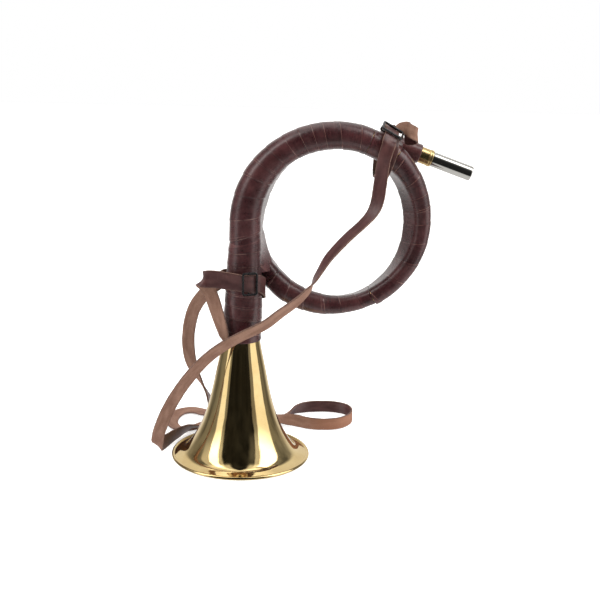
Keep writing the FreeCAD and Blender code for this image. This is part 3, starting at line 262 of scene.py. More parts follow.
def wound_leather(name, edge=1.0, tint=(1.0, 1.0, 1.0)):
    """Waxed hide wound in turns; edge is how strongly the cut edges show.

    UV 'wind' carries (turn count, length), UV 'round' (share of the girth, length).
    """
    material, g, shader, pos = new_material(name)
    phase, s = g.uv("wind")
    u, _ = g.uv("round")
    across = g.math("FRACT", phase)
    turn = g.math("FLOOR", phase)
    turn_random = g.node("ShaderNodeTexWhiteNoise", {"W": turn},
                         noise_dimensions="1D").outputs["Value"]
    clouds = g.noise(pos, scale=45.0, detail=4.0, rough=0.6)
    blots = g.noise(pos, scale=160.0, rough=0.6)
    fine = g.noise(pos, scale=1400.0, detail=4.0, rough=0.65)
    streak = g.noise(g.vector(x=(u, 5.0), y=(s, 0.9), z=(turn, 3.1)),
                     detail=4.0, rough=0.6, warp=0.3)
    streak2 = g.noise(g.vector(x=(u, 9.0), y=(s, 2.6), z=4.0), rough=0.6, warp=0.2)

    dark, mid, light = (
        tuple(a * t for a, t in zip(colour, tint))
        for colour in ((0.026, 0.0062, 0.0074), (0.056, 0.0150, 0.0168), (0.120, 0.046, 0.043)))
    colour = g.mix(g.ramp(clouds, lo=0.32, hi=0.68), dark, mid)
    colour = g.mix(g.ramp(blots, lo=0.45, hi=0.8), colour, light, amount=0.35)
    colour = g.mix(g.ramp(streak, lo=0.5, hi=0.85), colour, light, amount=0.30)
    colour = g.mix(g.sub(turn_random, 0.35, clamp=True), colour, light, amount=0.35)
    thin = g.noise(g.vector(x=(u, 4.0), y=(s, 4.2), z=9.0), rough=0.6, warp=0.1)
    colour = g.mix(g.ramp(thin, lo=0.55, hi=0.78), colour, light, amount=0.42)
    colour = g.mix(g.ramp(thin, lo=0.45, hi=0.28), colour, dark, amount=0.45)

    # raw edge of every turn: a thin pale line, broken here and there, and painted shade in the
    # step just before it
    breaks = g.ramp(g.noise(g.vector(x=(u, 7.0), y=(turn, 5.3), z=1.0)), lo=0.36, hi=0.62)
    line = g.mul(g.ramp(across, lo=0.018, hi=0.052, out=(1.0, 0.0)),
                 g.ramp(across, lo=0.0, hi=0.012))
    line2 = g.mul(g.near(across, centre=0.17, lo=0.006, hi=0.022),
                  g.ramp(turn_random, lo=0.55, hi=0.6))
    lines = g.mul(g.add(line, g.mul(line2, by=0.7), clamp=True), breaks)
    colour = g.mix(lines, colour, (0.34, 0.185, 0.150), amount=0.46 * edge)

    # fine slanting cuts
    slant = g.add(s, g.mul(u, by=6.0))
    hair = g.noise(g.vector(x=(u, 0.8), y=(slant, 0.62), z=11.0),
                   detail=1.0, rough=0.5, warp=0.05)
    cut = g.mul(g.near(hair, centre=0.5, lo=0.008, hi=0.034), breaks)
    colour = g.mix(cut, colour, (0.014, 0.0045, 0.0045), amount=0.45)
    # painted shade where each turn steps down onto the next one
    colour = g.mix(g.ramp(across, lo=0.965, hi=0.995), colour, (0.008, 0.003, 0.003),
                   amount=0.55 * edge)

    normal = g.bump(fine, strength=0.22, distance=0.00022)
    normal = g.bump(streak, strength=0.34, distance=0.00075, normal=normal)
    normal = g.bump(g.add(streak2, g.mul(thin, by=0.6)), strength=0.34, distance=0.00045,
                    normal=normal)
    normal = g.bump(g.add(line2, g.mul(cut, by=-0.8)), strength=0.5 * edge, distance=0.00030,
                    normal=normal)
    g.fill(shader, {
        "Base Color": colour,
        "Roughness": g.add(g.ramp(blots, lo=0.3, hi=0.75, out=(0.22, 0.31)),
                           g.mul(streak2, by=0.08)),
        "Specular IOR Level": 0.16,
        "Coat Weight": 0.95,
        "Coat Roughness": 0.27,
        "Sheen Weight": 0.04,
        "Sheen Roughness": 0.35,
        "Sheen Tint": (0.95, 0.70, 0.70, 1),
        "Normal": normal})
    return material


def strap_leather(name, face):
    """face: 'grain' dyed side, 'flesh' raw side, 'edge' cut side.

    UV 'strip' carries (length in mm, -1..1 across).
    """
    material, g, shader, pos = new_material(name)
    s, t = g.uv("strip")
    along = g.noise(g.vector(x=(s, 0.055), y=(t, 1.1), z=0.0), detail=4.0, rough=0.6)
    fibre = g.noise(g.vector(x=(s, 0.9), y=(t, 9.0), z=2.0), detail=5.0, rough=0.65)
    if face != "edge":
        fine = g.noise(pos, scale=1700.0, rough=0.6)
        cross = g.noise(g.vector(x=(s, 0.75), y=(t, 0.9), z=7.0),
                        detail=4.0, rough=0.62, warp=0.4)
    if face == "grain":
        colour = g.mix(g.ramp(along, lo=0.3, hi=0.7),
                       (0.042, 0.0120, 0.0118), (0.088, 0.032, 0.029))
        colour = g.mix(g.ramp(cross, lo=0.55, hi=0.8), colour, (0.19, 0.095, 0.078), amount=0.4)
        border = g.ramp(g.math("ABSOLUTE", t), lo=0.84, hi=0.98)
        colour = g.mix(border, colour, (0.035, 0.012, 0.011), amount=0.45)
        rough = g.ramp(fibre, lo=0.3, hi=0.8, out=(0.34, 0.50))
        specular, coat = 0.6, 0.15
        normal = g.bump(g.add(cross, g.mul(fine, by=0.5)), strength=0.30, distance=0.00045)
    elif face == "flesh":
        colour = g.mix(g.ramp(along, lo=0.3, hi=0.72),
                       (0.165, 0.083, 0.056), (0.255, 0.145, 0.102))
        colour = g.mix(g.ramp(fibre, lo=0.45, hi=0.8), colour, (0.33, 0.215, 0.16), amount=0.45)
        colour = g.mix(g.ramp(cross, lo=0.5, hi=0.78), colour, (0.112, 0.055, 0.038),
                       amount=0.28)
        # redder where the strap lies on the floor at the right
        x, _, z = g.split(pos)
        right = g.mul(g.ramp(x, lo=0.045, hi=0.075),
                      g.ramp(z, lo=0.016, hi=0.03, out=(1.0, 0.0)))
        colour = g.mix(right, colour, (0.27, 0.115, 0.062), amount=0.65)
        rough = g.ramp(fibre, lo=0.2, hi=0.8, out=(0.62, 0.82))
        specular, coat = 0.28, 0.0
        normal = g.bump(g.add(fibre, g.mul(fine, by=0.8)), strength=0.35, distance=0.0004)
    else:
        colour = g.mix(g.ramp(fibre, lo=0.3, hi=0.75),
                       (0.085, 0.043, 0.034), (0.21, 0.125, 0.092))
        colour = g.mix(g.ramp(along, lo=0.5, hi=0.75), colour, (0.10, 0.045, 0.034), amount=0.5)
        rough = g.ramp(fibre, lo=0.2, hi=0.8, out=(0.55, 0.75))
        specular, coat = 0.35, 0.0
        normal = g.bump(fibre, strength=0.4, distance=0.0003)
    g.fill(shader, {
        "Base Color": colour,
        "Roughness": rough,
        "Specular IOR Level": specular,
        "Coat Weight": coat,
        "Coat Roughness": 0.35,
        "Normal": normal})
    return material


def metal(name, dark, light, rough, lines, wave=0.0, axis=None, spots=0.0):
    """Mottled metal with fine lines across the axis (upright if none), waves and dark spots."""
    material, g, shader, pos = new_material(name)
    mottle = g.noise(pos, scale=38.0, detail=4.0, rough=0.6)
    fine = g.noise(pos, scale=900.0, rough=0.6)
    colour = g.mix(g.ramp(mottle, lo=0.32, hi=0.7), dark, light)
    if spots:
        spot = g.ramp(g.noise(pos, scale=260.0, detail=4.0, rough=0.7), lo=0.60, hi=0.78)
        colour = g.mix(spot, colour, scaled_colour(dark, 0.35), amount=spots)
    normal = g.bump(fine, strength=0.05, distance=0.00005)
    if wave:
        x, y, z = g.split(pos)
        swell = g.noise(g.vector(x=(x, 60.0), y=(y, 60.0), z=(z, 34.0)),
                        detail=2.0, rough=0.5, warp=0.3)
        normal = g.bump(swell, strength=wave, distance=0.0012, normal=normal)
    x, _, height = g.split(pos)
    if axis is not None:
        height = g.add(g.mul(x, by=float(axis[0])), g.mul(height, by=float(axis[2])))
    rings = g.noise(g.vector(x=(height, 5200.0), y=0.0, z=0.0), rough=0.6)
    normal = g.bump(rings, strength=lines, distance=0.00003, normal=normal)
    smudges = g.noise(pos, scale=120.0, detail=4.0, rough=0.65)
    g.fill(shader, {
        "Base Color": colour,
        "Metallic": 1.0,
        "Roughness": g.ramp(smudges, lo=0.3, hi=0.75, out=rough),
        "Normal": normal})
    return material


def black_steel():
    material, g, shader, pos = new_material("black_japanned_steel")
    grain = g.noise(pos, scale=420.0, detail=4.0, rough=0.65)
    # lighter flecks: worn spots that also serve as small painted highlights on the black wire
    wear_and_glints = g.ramp(g.noise(pos, scale=900.0, detail=4.0, rough=0.7), lo=0.62, hi=0.75)
    colour = g.mix(g.ramp(grain, lo=0.3, hi=0.7), (0.006, 0.006, 0.007), (0.016, 0.015, 0.016))
    g.fill(shader, {
        "Base Color": g.mix(wear_and_glints, colour, (0.10, 0.09, 0.085), amount=0.35),
        "Metallic": 0.25,
        "Roughness": g.ramp(grain, lo=0.3, hi=0.8, out=(0.22, 0.42)),
        "Coat Weight": 0.5,
        "Coat Roughness": 0.16,
        "Normal": g.bump(grain, strength=0.15, distance=0.0002)})
    return material


def cork():
    material, g, shader, pos = new_material("cork_ring")
    cells = g.node("ShaderNodeTexVoronoi", {"Scale": 900.0, "Vector": pos})
    grain = g.noise(pos, scale=700.0, detail=4.0, rough=0.7)
    colour = g.mix(g.ramp(grain, lo=0.3, hi=0.7), (0.33, 0.19, 0.10), (0.52, 0.35, 0.20))
    pores = g.ramp(cells.outputs["Distance"], lo=0.0, hi=0.25, out=(0.5, 0.0))
    g.fill(shader, {
        "Base Color": g.mix(pores, colour, (0.16, 0.08, 0.04)),
        "Roughness": g.ramp(grain, lo=0.2, hi=0.8, out=(0.7, 0.9)),
        "Normal": g.bump(grain, strength=0.4, distance=0.0003)})
    return material


BRASS = metal("polished_brass_spun", dark=(0.73, 0.535, 0.245), light=(0.82, 0.635, 0.315),
              rough=(0.045, 0.10), wave=0.16, lines=0.10)
RAW = metal("raw_brass_drawn", dark=(0.58, 0.37, 0.11), light=(0.68, 0.46, 0.17),
            rough=(0.22, 0.38), lines=0.2, spots=0.4)
SOCKET = metal("socket_brass_turned", dark=(0.72, 0.53, 0.25), light=(0.82, 0.66, 0.36),
               rough=(0.20, 0.32), lines=0.25, axis=EXIT_DIR, spots=0.25)
REED = metal("reed_brass_filed", dark=(0.66, 0.46, 0.17), light=(0.74, 0.55, 0.24),
             rough=(0.18, 0.34), lines=0.2, axis=EXIT_DIR)
NICKEL = metal("nickel_plate", dark=(0.60, 0.585, 0.555), light=(0.70, 0.69, 0.66),
               rough=(0.05, 0.12), wave=0.05, lines=0.08, axis=EXIT_DIR, spots=0.12)
IRON = metal("iron_wire_drawn", dark=(0.22, 0.21, 0.20), light=(0.32, 0.31, 0.30),
             rough=(0.35, 0.55), lines=0.3, spots=0.3)
STEEL = black_steel()
CORK = cork()
LEATHER = wound_leather("wound_leather")
PATCH = wound_leather("patch_leather", edge=0.55, tint=(1.22, 1.28, 1.26))
CUFF = wound_leather("cuff_leather", edge=0.5, tint=(1.30, 1.36, 1.32))
GRAIN = strap_leather("strap_grain_side", "grain")
FLESH = strap_leather("strap_flesh_side", "flesh")
CUT = strap_leather("strap_cut_edge", "edge")


# ---------------------------------------------------------------- mesh helpers
def build(name, verts, faces, materials, body, nodes, sharp, uvs={}, face_materials=None):
    """Object from vertices in millimetres; uvs maps a layer name to one (u, v) per corner."""
    mesh = bpy.data.meshes.new(name)
    points = np.asarray(verts, float) * MM
    mesh.vertices.add(len(points))
    mesh.vertices.foreach_set("co", points.astype(np.float32).ravel())
    sizes = np.array([len(face) for face in faces], np.int32)
    corners = np.fromiter((i for face in faces for i in face), np.int32)
    starts = np.concatenate([[0], np.cumsum(sizes)[:-1]]).astype(np.int32)
    mesh.loops.add(len(corners))
    mesh.loops.foreach_set("vertex_index", corners)
    mesh.polygons.add(len(faces))
    mesh.polygons.foreach_set("loop_start", starts)
    mesh.polygons.foreach_set("loop_total", sizes)
    for layer, values in uvs.items():
        mesh.uv_layers.new(name=layer)
        mesh.uv_layers[layer].data.foreach_set("uv", np.asarray(values, np.float32).ravel())
    for material in materials:
        mesh.materials.append(material)
    if face_materials is not None:
        mesh.polygons.foreach_set("material_index", np.asarray(face_materials, np.int32))
    mesh.update(calc_edges=True)
    mesh.validate()
    bm = bmesh.new()
    bm.from_mesh(mesh)
    bmesh.ops.recalc_face_normals(bm, faces=bm.faces)
    if bm.calc_volume(signed=True) < 0:
        bmesh.ops.reverse_faces(bm, faces=bm.faces)
    bm.to_mesh(mesh)
    bm.free()
    mesh.shade_smooth()
    mesh.set_sharp_from_angle(angle=radians(sharp))
    ob = bpy.data.objects.new(name, mesh)
    bpy.context.scene.collection.objects.link(ob)
    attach(ob, body)
    if nodes:
        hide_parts(*nodes)
    return ob


def grid_faces(rings, columns, offset=0, wrap_rings=False):
    """Quads over rings of wrapping columns, and the unwrapped (ring, column) of each corner."""
    faces, corners = [], []
    for i in range(rings if wrap_rings else rings - 1):
        low, high = offset + i * columns, offset + (i + 1) % rings * columns
        for j in range(columns):
            j2 = (j + 1) % columns
            faces.append((low + j, low + j2, high + j2, high + j))
            corners.append(((i, j), (i, j + 1), (i + 1, j + 1), (i + 1, j)))
    return faces, corners


def leather_shell(name, outer, inner, uv_at, material, nodes):
    """Closed skin: outer rings and inner rings (maybe fewer), joined by a rim at both ends.

    uv_at(length share, girth share) gives {layer: (u, v)}.
    """
    n_outer, columns = outer.shape[:2]
    n_inner = inner.shape[0]
    inner_start = n_outer * columns
    verts = np.concatenate([outer.reshape(-1, 3), inner.reshape(-1, 3)])
    faces, shares = [], []
    for rings, offset in ((n_outer, 0), (n_inner, inner_start)):
        grid, corners = grid_faces(rings, columns, offset)
        faces += grid
        shares += [[(i / (rings - 1.0), j / float(columns)) for i, j in quad]
                   for quad in corners]
    for ring_out, ring_in, end in ((0, 0, 0.0), (n_outer - 1, n_inner - 1, 1.0)):
        a, b = ring_out * columns, inner_start + ring_in * columns
        for j in range(columns):
            j2 = (j + 1) % columns
            faces.append((a + j, a + j2, b + j2, b + j))
            here, there = (end, j / float(columns)), (end, (j + 1) / float(columns))
            shares.append([here, there, there, here])
    shares = np.array(shares)
    layers = uv_at(shares[..., 0].ravel(), shares[..., 1].ravel())
    uvs = {layer: np.stack(values, 1) for layer, values in layers.items()}
    return build(name, verts, faces, [material], "horn", nodes, sharp=55,
                 uvs=uvs)


def lathe(name, profile, origin, axis, material, body, node, segments, sharp):
    """Closed outline of (radius, length) turned about an axis."""
    axis = np.array(axis, float)
    axis /= np.linalg.norm(axis)
    side = np.array((0, 1, 0), float)
    side -= axis * side.dot(axis)
    side /= np.linalg.norm(side)
    other = np.cross(axis, side)
    angles = np.arange(segments) * 2 * pi / segments
    profile = np.array(profile, float)
    spokes = np.cos(angles)[:, None] * side + np.sin(angles)[:, None] * other
    rings = (np.array(origin, float) + profile[:, None, :1] * spokes[None]
             + profile[:, None, 1:] * axis)
    faces, _ = grid_faces(len(profile), segments, wrap_rings=True)
    return build(name, rings.reshape(-1, 3), faces, [material], body, [node], sharp=sharp)


# ---------------------------------------------------------------- bell
BEAD_R, BEAD_Z, BEAD_RING_R = 1.4, 1.36, 55.8    # rolled rim: section radius, height, ring radius
BEAD_OUT, BEAD_IN = radians(148), radians(180)   # where the two faces of the wall meet the rim
BELL_WALL = 0.6


def bead_points(start, end, steps):
    angles = [start + (end - start) * k / steps for k in range(int(steps) + 1)]
    return [(BEAD_RING_R + BEAD_R * cos(a), BEAD_Z + BEAD_R * sin(a)) for a in angles]


def bell():
    heights = [3.05, 3.5, 4.0, 4.8, 5.6, 6.8, 8, 9.5, 11, 12.5, 14, 16, 18, 20, 22, 24.5]
    heights += list(np.linspace(27, 104, 52))
    foot = sqrt(BEAD_R * BEAD_R - BEAD_Z * BEAD_Z)    # half width of the rim where it meets z = 0
    bead = bead_points(math.atan2(-BEAD_Z, foot), BEAD_OUT, 14.0)
    outer = [bead[-1]] + [(hermite(BELL_OUTLINE, z), z) for z in heights]
    inner = []
    for k in range(1, len(outer)):
        a, b = outer[k - 1], outer[min(k + 1, len(outer) - 1)]
        along = np.array([b[0] - a[0], b[1] - a[1]])
        along /= np.linalg.norm(along)
        normal = np.array([-along[1], along[0]])
        if normal[0] > 0:
            normal = -normal
        point = np.array(outer[k]) + normal * BELL_WALL
        # the top edge is cut level
        inner.append((point[0], outer[k][1] if k == len(outer) - 1 else point[1]))
    under = bead_points(BEAD_IN, 2 * pi + math.atan2(-BEAD_Z, -foot), 8.0)
    profile = bead + outer[1:] + inner[::-1] + under
    lathe("spun_bell", profile, (0, 0, 0), (0, 0, 1), BRASS, "horn", "bell",
          segments=256, sharp=50)


bell()

# ---------------------------------------------------------------- wound leather
SKIN_THICKNESS = 0.75
WIND_RADIUS = 70.0    # turns ring angle into length along the winding
COLUMNS = 88
STEP = 0.55
GIRTH = np.arange(COLUMNS) / float(COLUMNS)

# Uneven pitch of the turns along the length, and the turn count it adds up to
LENGTHS = np.arange(-130.0, 480.0, 0.25)
PITCH = 13.2 * (1 + 0.22 * np.sin(LENGTHS / 21.0 + 1.0) + 0.17 * np.sin(LENGTHS / 8.9 + 0.4)
                + 0.08 * np.sin(LENGTHS / 4.1))
TURN_COUNT = np.concatenate([[0], np.cumsum(0.25 / PITCH)[:-1]])

RANDOM = np.random.RandomState(11)
TURN_STEP = 0.20 + 0.24 * RANDOM.rand(400)    # height of each turn's edge


def wave_table(count, slow, fast, order, weakest):
    """Rows of (frequency along, waves round, phase, weight)."""
    return [(RANDOM.uniform(slow, fast), RANDOM.randint(-order, order + 1),
             RANDOM.uniform(0, 2 * pi), RANDOM.uniform(weakest, 1.0)) for _ in range(count)]


COARSE = wave_table(7, slow=0.02, fast=0.09, order=3, weakest=0.5)
FINE = wave_table(12, slow=0.12, fast=0.32, order=7, weakest=0.4)


def turns_at(s):
    return np.interp(s, LENGTHS, TURN_COUNT)


def waves(table, s, u):
    total = 0.0
    for frequency, order, phase, weight in table:
        total = total + weight * np.sin(2 * pi * (frequency * s + order * u) + phase)
    return total / sum(row[3] for row in table)


def winding(s, u, inward=0.0, strength=1.0, slope=1.0):
    """Offset of the wound surface from the tight skin; negative is below it."""
    phase = turns_at(s) * slope + u
    turn = np.floor(phase)
    across = phase - turn
    index = turn.astype(int) + 60
    edge = 0.062    # share of a turn over which its edge rises
    rising = across < edge
    height = np.where(rising, TURN_STEP[(index - 1) % 400], TURN_STEP[index % 400]) * strength
    drop = np.where(rising, 1 - smooth01(across / edge), (across - edge) / (1 - edge))
    offset = -height * drop - 0.09 - 0.09 * waves(COARSE, s, u)
    # puckers, deeper on the inside of the ring
    return offset - (0.05 + 0.16 * inward) * (0.5 + 0.5 * waves(FINE, s, u))


def hull(circles):
    """Convex hull round circles of (x, y, radius[, stretch in x]), anticlockwise."""
    points = []
    angles = np.arange(96) * 2 * pi / 96
    for x, y, radius, *stretch in circles:
        wide = stretch[0] if stretch else 1.0
        points.append(np.stack([x + radius * wide * np.cos(angles),
                                y + radius * np.sin(angles)], 1))
    points = sorted(map(tuple, np.round(np.concatenate(points), 6)))

    def half(sequence):
        out = []
        for q in sequence:
            while len(out) >= 2:
                a, b = out[-2], out[-1]
                if (b[0] - a[0]) * (q[1] - a[1]) - (b[1] - a[1]) * (q[0] - a[0]) > 0:
                    break
                out.pop()
            out.append(q)
        return out

    lower, upper = half(points), half(reversed(points))
    return np.array(lower[:-1] + upper[:-1])


def outline(circles):
    """Evenly spaced points round the tight skin, from the back, and their outward normals."""
    edge = hull(circles)
    centre = np.array([0.5 * (edge[:, 0].min() + edge[:, 0].max()),
                       0.5 * (edge[:, 1].min() + edge[:, 1].max())])
    count = len(edge)
    start, share = int(np.argmax(edge[:, 1])), 0.0
    for i in range(count):
        a, b = edge[i] - centre, edge[(i + 1) % count] - centre
        if a[0] >= 0 > b[0] and a[1] + b[1] > 0:
            start, share = i, a[0] / (a[0] - b[0])
            break
    path = [edge[start] + share * (edge[(start + 1) % count] - edge[start])]
    path += [edge[(start + 1 + k) % count] for k in range(count)]
    path = np.array(path + [path[0]])
    run = np.r_[0, np.cumsum(np.linalg.norm(np.diff(path, axis=0), axis=1))]
    stops = np.arange(COLUMNS) * run[-1] / COLUMNS
    points = np.stack([np.interp(stops, run, path[:, 0]), np.interp(stops, run, path[:, 1])], 1)
    tangents = np.roll(points, -1, 0) - np.roll(points, 1, 0)
    normals = np.stack([tangents[:, 1], -tangents[:, 0]], 1)
    normals /= np.linalg.norm(normals, axis=1)[:, None]
    return points, normals


def winding_uv(start, end, slope=1.0, shift=0.0):
    def uv_at(share, u):
        s = start + (end - start) * share
        return {"wind": (turns_at(s) * slope + u + 80 + shift, s), "round": (u, s)}
    return uv_at


def on_ring(points, tau):
    """Points of (distance from the ring centre, y) placed at a ring angle."""
    angle = radians(180 - tau)
    return np.stack([RING_X + points[:, 0] * cos(angle), points[:, 1],
                     RING_Z + points[:, 0] * sin(angle)], 1)


def ring_wrap(name, node, start, end, turns, material=LEATHER, slope=1.0, strength=1.0,
              extra=None):
    """Skin round a bundle of turns between two ring angles."""
    count = max(6, int(radians(end - start) * WIND_RADIUS / STEP))
    taus = np.linspace(start, end, count)
    lengths = np.radians(taus) * WIND_RADIUS
    outer, inner = [], []
    for tau, s in zip(taus, lengths):
        points, normals = outline([turn(tau) for turn in turns])
        low, high = points[:, 0].min(), points[:, 0].max()
        inward = np.clip((0.5 * (low + high) - points[:, 0]) / (0.5 * (high - low)), 0, 1) ** 1.5
        offset = winding(s, GIRTH, inward, strength, slope)
        if extra is not None:
            offset = offset + extra(tau, points)
        # the skin turns in a little at both ends
        from_end = min(tau - start, end - tau) * radians(1) * WIND_RADIUS
        offset = offset - 0.28 * max(0.0, 1 - from_end / 0.7) ** 2
        outer.append(on_ring(points + normals * offset[:, None], tau))
    for tau in np.linspace(start, end, max(5, count // 6)):
        circles = [(x, y, radius - SKIN_THICKNESS - 0.12)
                   for x, y, radius in (turn(tau) for turn in turns)]
        inner.append(on_ring(outline(circles)[0], tau))
    return leather_shell(name, np.array(outer), np.array(inner),
                         winding_uv(lengths[0], lengths[-1], slope), material, [node])


def lower_flare(tau, points):
    # the last turns of the right-hand wrap stand proud on the outside of the ring
    x = points[:, 0]
    out = np.clip((x - x.mean()) / (x.max() - x.mean()), -0.3, 1)
    return float(smooth01((tau - 222.0) / 20.0)) * (0.25 + 0.65 * np.clip(out, 0, 1))


TWO_TURNS = (first_turn, second_turn)
THREE_TURNS = TWO_TURNS + (third_turn,)
ring_wrap("wound_left_bundle", "wrap_left_bundle", -14.0, 112.0, THREE_TURNS)
ring_wrap("smooth_top_patch", "top_patch", 112.25, 131.0, THREE_TURNS, material=PATCH,
          slope=0.42, strength=1.1)
ring_wrap("wound_right_bundle", "wrap_right_bundle", 131.3, 242.8, TWO_TURNS,
          slope=0.8, strength=0.85, extra=lower_flare)
ring_wrap("wound_lower_bundle", "wrap_lower_bundle", 243.1, 316.0, TWO_TURNS, slope=0.72)
ring_wrap("wound_crossing", "crossing_patch", 316.3, 345.7, TWO_TURNS, slope=0.9)


def branch_wrap():
    """Skin round the upright branch; its rings tip over to meet the left bundle."""
    bottom, top = 101.0, 181.2
    top_tilt = 0.2540
    top_length = -14.25 * radians(1) * WIND_RADIUS
    angles = 2 * pi * GIRTH + pi / 2
    outer, inner = [], []

    def ring(height, skin):
        tilt = top_tilt * float(smooth01((height - 138.0) / (top - 138.0)))
        z = height + tilt * (hermite(BELL_OUTLINE, height) + skin) * np.cos(angles)
        radius = np.array([hermite(BELL_OUTLINE, q) for q in z]) + skin
        x = np.array([hermite(BRANCH_X, q) for q in z]) + radius * np.cos(angles)
        z = height + tilt * radius * np.cos(angles)
        return np.stack([x, radius * np.sin(angles), z], 1)

    for height in np.linspace(bottom, top - 0.15, int((top - bottom) / STEP)):
        rise = height - bottom
        skin = BRANCH_SKIN - 0.20 * (1 - float(smooth01(rise / 2.5)))
        offset = winding(top_length - (top - height), GIRTH, 0.35)
        offset = offset * min(1.0, 0.35 + rise / 4.0) - 0.3 * max(0.0, 1 - rise / 0.8) ** 2
        outer.append(ring(height, skin + offset))
    for height in np.linspace(bottom, top - 0.15, 24):
        inner.append(ring(height, 0.6))
    leather_shell("wound_bell_branch", np.array(outer), np.array(inner),
                  winding_uv(top_length - (top - bottom), top_length), LEATHER,
                  ["wrap_bell_branch"])


branch_wrap()


def crossing_web():
    """Smooth skin bridging the upright branch and the turn that passes behind it."""
    bottom, top = 159.5, 187.0
    count = 60

    def turn_height(tau):
        return RING_Z + turn_radius(tau) * sin(radians(180 - tau))

    def skin(height, grow):
        tau = min(np.linspace(315, 352, 149), key=lambda t: abs(turn_height(t) - height))
        slant = cos(radians(180 - tau))
        stretch = min(1.5, 1.0 / max(0.5, abs(slant)))
        branch = (hermite(BRANCH_X, height), 0.0, hermite(BELL_OUTLINE, height) + 0.95 + grow)
        turn = (RING_X + turn_radius(tau) * slant, hermite(DEPTH, tau),
                hermite(TURN1_SKIN, tau) + 0.30 + grow, stretch)
        return outline([branch, turn])

    def rings(grow, ring_count, rough):
        out = []
        for height in np.linspace(bottom, top, ring_count):
            points, normals = skin(height, grow)
            # tucked under the left bundle at the top
            offset = np.full(COLUMNS, -0.9 * float(smooth01((height - 181.5) / 5.0)))
            if rough:
                offset += -0.10 - 0.12 * waves(COARSE, height, GIRTH)
                offset -= 0.05 * waves(FINE, height, GIRTH)
                offset -= 0.5 * max(0.0, 1 - (height - bottom) / 1.2) ** 2
            points = points + normals * offset[:, None]
            tilt = (0.20 * float(smooth01((height - 165.0) / 15.0))
                    - 0.16 * float(smooth01((168.0 - height) / 8.0)))
            out.append(np.stack([points[:, 0], points[:, 1],
                                 height + tilt * (points[:, 0] - 2.2)], 1))
        return np.array(out)

    leather_shell("crossing_web", rings(0.0, count, True), rings(-0.8, count // 2, False),
                  winding_uv(30.0, 30.0 + top - bottom, slope=0.25, shift=0.3), PATCH, None)


crossing_web()


def cuff():
    """Single sheet of leather rolled round the mouthpipe; lengths run from the exit point."""
    start, end, lip = 8.0, 46.3, 44.6
    # (length, outer radius)
    radii = [(8.0, 5.3), (11.0, 6.7), (14, 7.4), (22, 7.9), (30, 8.15), (38, 8.25),
             (44.5, 8.22), (45.8, 8.1), (46.3, 7.8)]
    count = 72
    side = np.array([0, 1.0, 0])
    other = np.cross(EXIT_DIR, side)
    angles = 2 * pi * GIRTH
    spokes = np.cos(angles)[:, None] * side + np.sin(angles)[:, None] * other

    def seam_phase(length, u):
        return length / 58.0 + u + 0.42

    outer, inner = [], []
    for length in np.concatenate([np.linspace(start, lip, count - 8, endpoint=False),
                                  np.linspace(lip, end, 8)]):
        across = seam_phase(length, GIRTH) % 1.0
        offset = smooth01(across / 0.025) * (1 - across) * 0.42 - 0.42
        offset = (offset - 0.06 * waves(COARSE, length * 1.2, GIRTH)
                  - 0.04 * waves(FINE, length, GIRTH))
        radius = hermite(radii, length) + offset
        outer.append(EXIT_POINT + EXIT_DIR * length + spokes * radius[:, None])
    for length in np.linspace(start, end, 20):
        radius = 4.9 if length < 9 else (5.25 if length < 31.2 else 6.7)
        inner.append(EXIT_POINT + EXIT_DIR * length + spokes * radius)

    def uv_at(share, u):
        length = start + (end - start) * share
        return {"wind": (seam_phase(length, u) + 5, length), "round": (u, length)}

    leather_shell("mouthpipe_cuff_leather", np.array(outer), np.array(inner), uv_at, CUFF,
                  ["mouthpipe_cuff"])


cuff()

# ---------------------------------------------------------------- mouthpiece
# Closed outlines of (radius, length from the exit point)
SOCKET_R = 6.6
SOCKET_PROFILE = (
    [(4.8, 31.6), (6.2, 31.6), (SOCKET_R, 32.2)]
    + [(SOCKET_R, z) for z in np.linspace(33, 53.1, 12)]
    + [(6.62, 53.4), (6.72, 53.62), (6.85, 53.85), (6.85, 54.6), (6.78, 54.75), (6.74, 54.9),
       (6.78, 55.05), (6.85, 55.2), (6.85, 56.2), (6.74, 56.52), (6.52, 56.68), (6.3, 56.7),
       (5.45, 56.7), (5.45, 40.9), (4.8, 40.9)])
BARREL_R, BARREL_ROUND = 6.0, 1.0    # radius, rounding of the far edge
BARREL_PROFILE = (
    [(5.0, 56.8), (5.86, 56.8), (5.96, 56.88), (BARREL_R, 57.0)]
    + [(BARREL_R, z) for z in np.linspace(58.0, 89.6, 22)]
    + [(BARREL_R - BARREL_ROUND + BARREL_ROUND * cos(radians(8.8 * i)),
        90.2 + BARREL_ROUND * sin(radians(8.8 * i))) for i in range(1, 11)]
    + [(4.5, 91.2), (4.2, 91.17), (4.0, 91.05), (3.9, 90.8), (3.9, 88.8), (4.3, 88.3),
       (5.0, 87.8)])
lathe("turned_socket", SOCKET_PROFILE, EXIT_POINT, EXIT_DIR, SOCKET, "horn",
      "mouthpiece_receiver", segments=128, sharp=28)
lathe("nickel_barrel", BARREL_PROFILE, EXIT_POINT, EXIT_DIR, NICKEL, "barrel",
      "mouthpiece_barrel", segments=128, sharp=28)

# ---------------------------------------------------------------- shoulder strap
STRAP_W, LOWER_W, STRAP_T = 10.8, 14.4, 1.6    # width, width round the branch, thickness
STRAP_LIFT = 0.35                              # least height of the strap over the floor
UPPER_ANGLE = radians(60.0)                    # where the strap meets the ring, up to the right
UPPER_OUT = np.array([cos(UPPER_ANGLE), 0, sin(UPPER_ANGLE)])
UPPER_ALONG = np.array([sin(UPPER_ANGLE), 0, -cos(UPPER_ANGLE)])
BUNDLE_R, BUNDLE_Y = 70.0, 9.0                 # centre of the turns there
BRANCH_AXIS_X, LOWER_SLIDE_Z = 1.6, 151.5
ARC_IN, ARC_OUT = 13.4, 15.25                  # the strap's two layers over the turns


def place(x, y, z):
    return np.array([x, y, z], float)


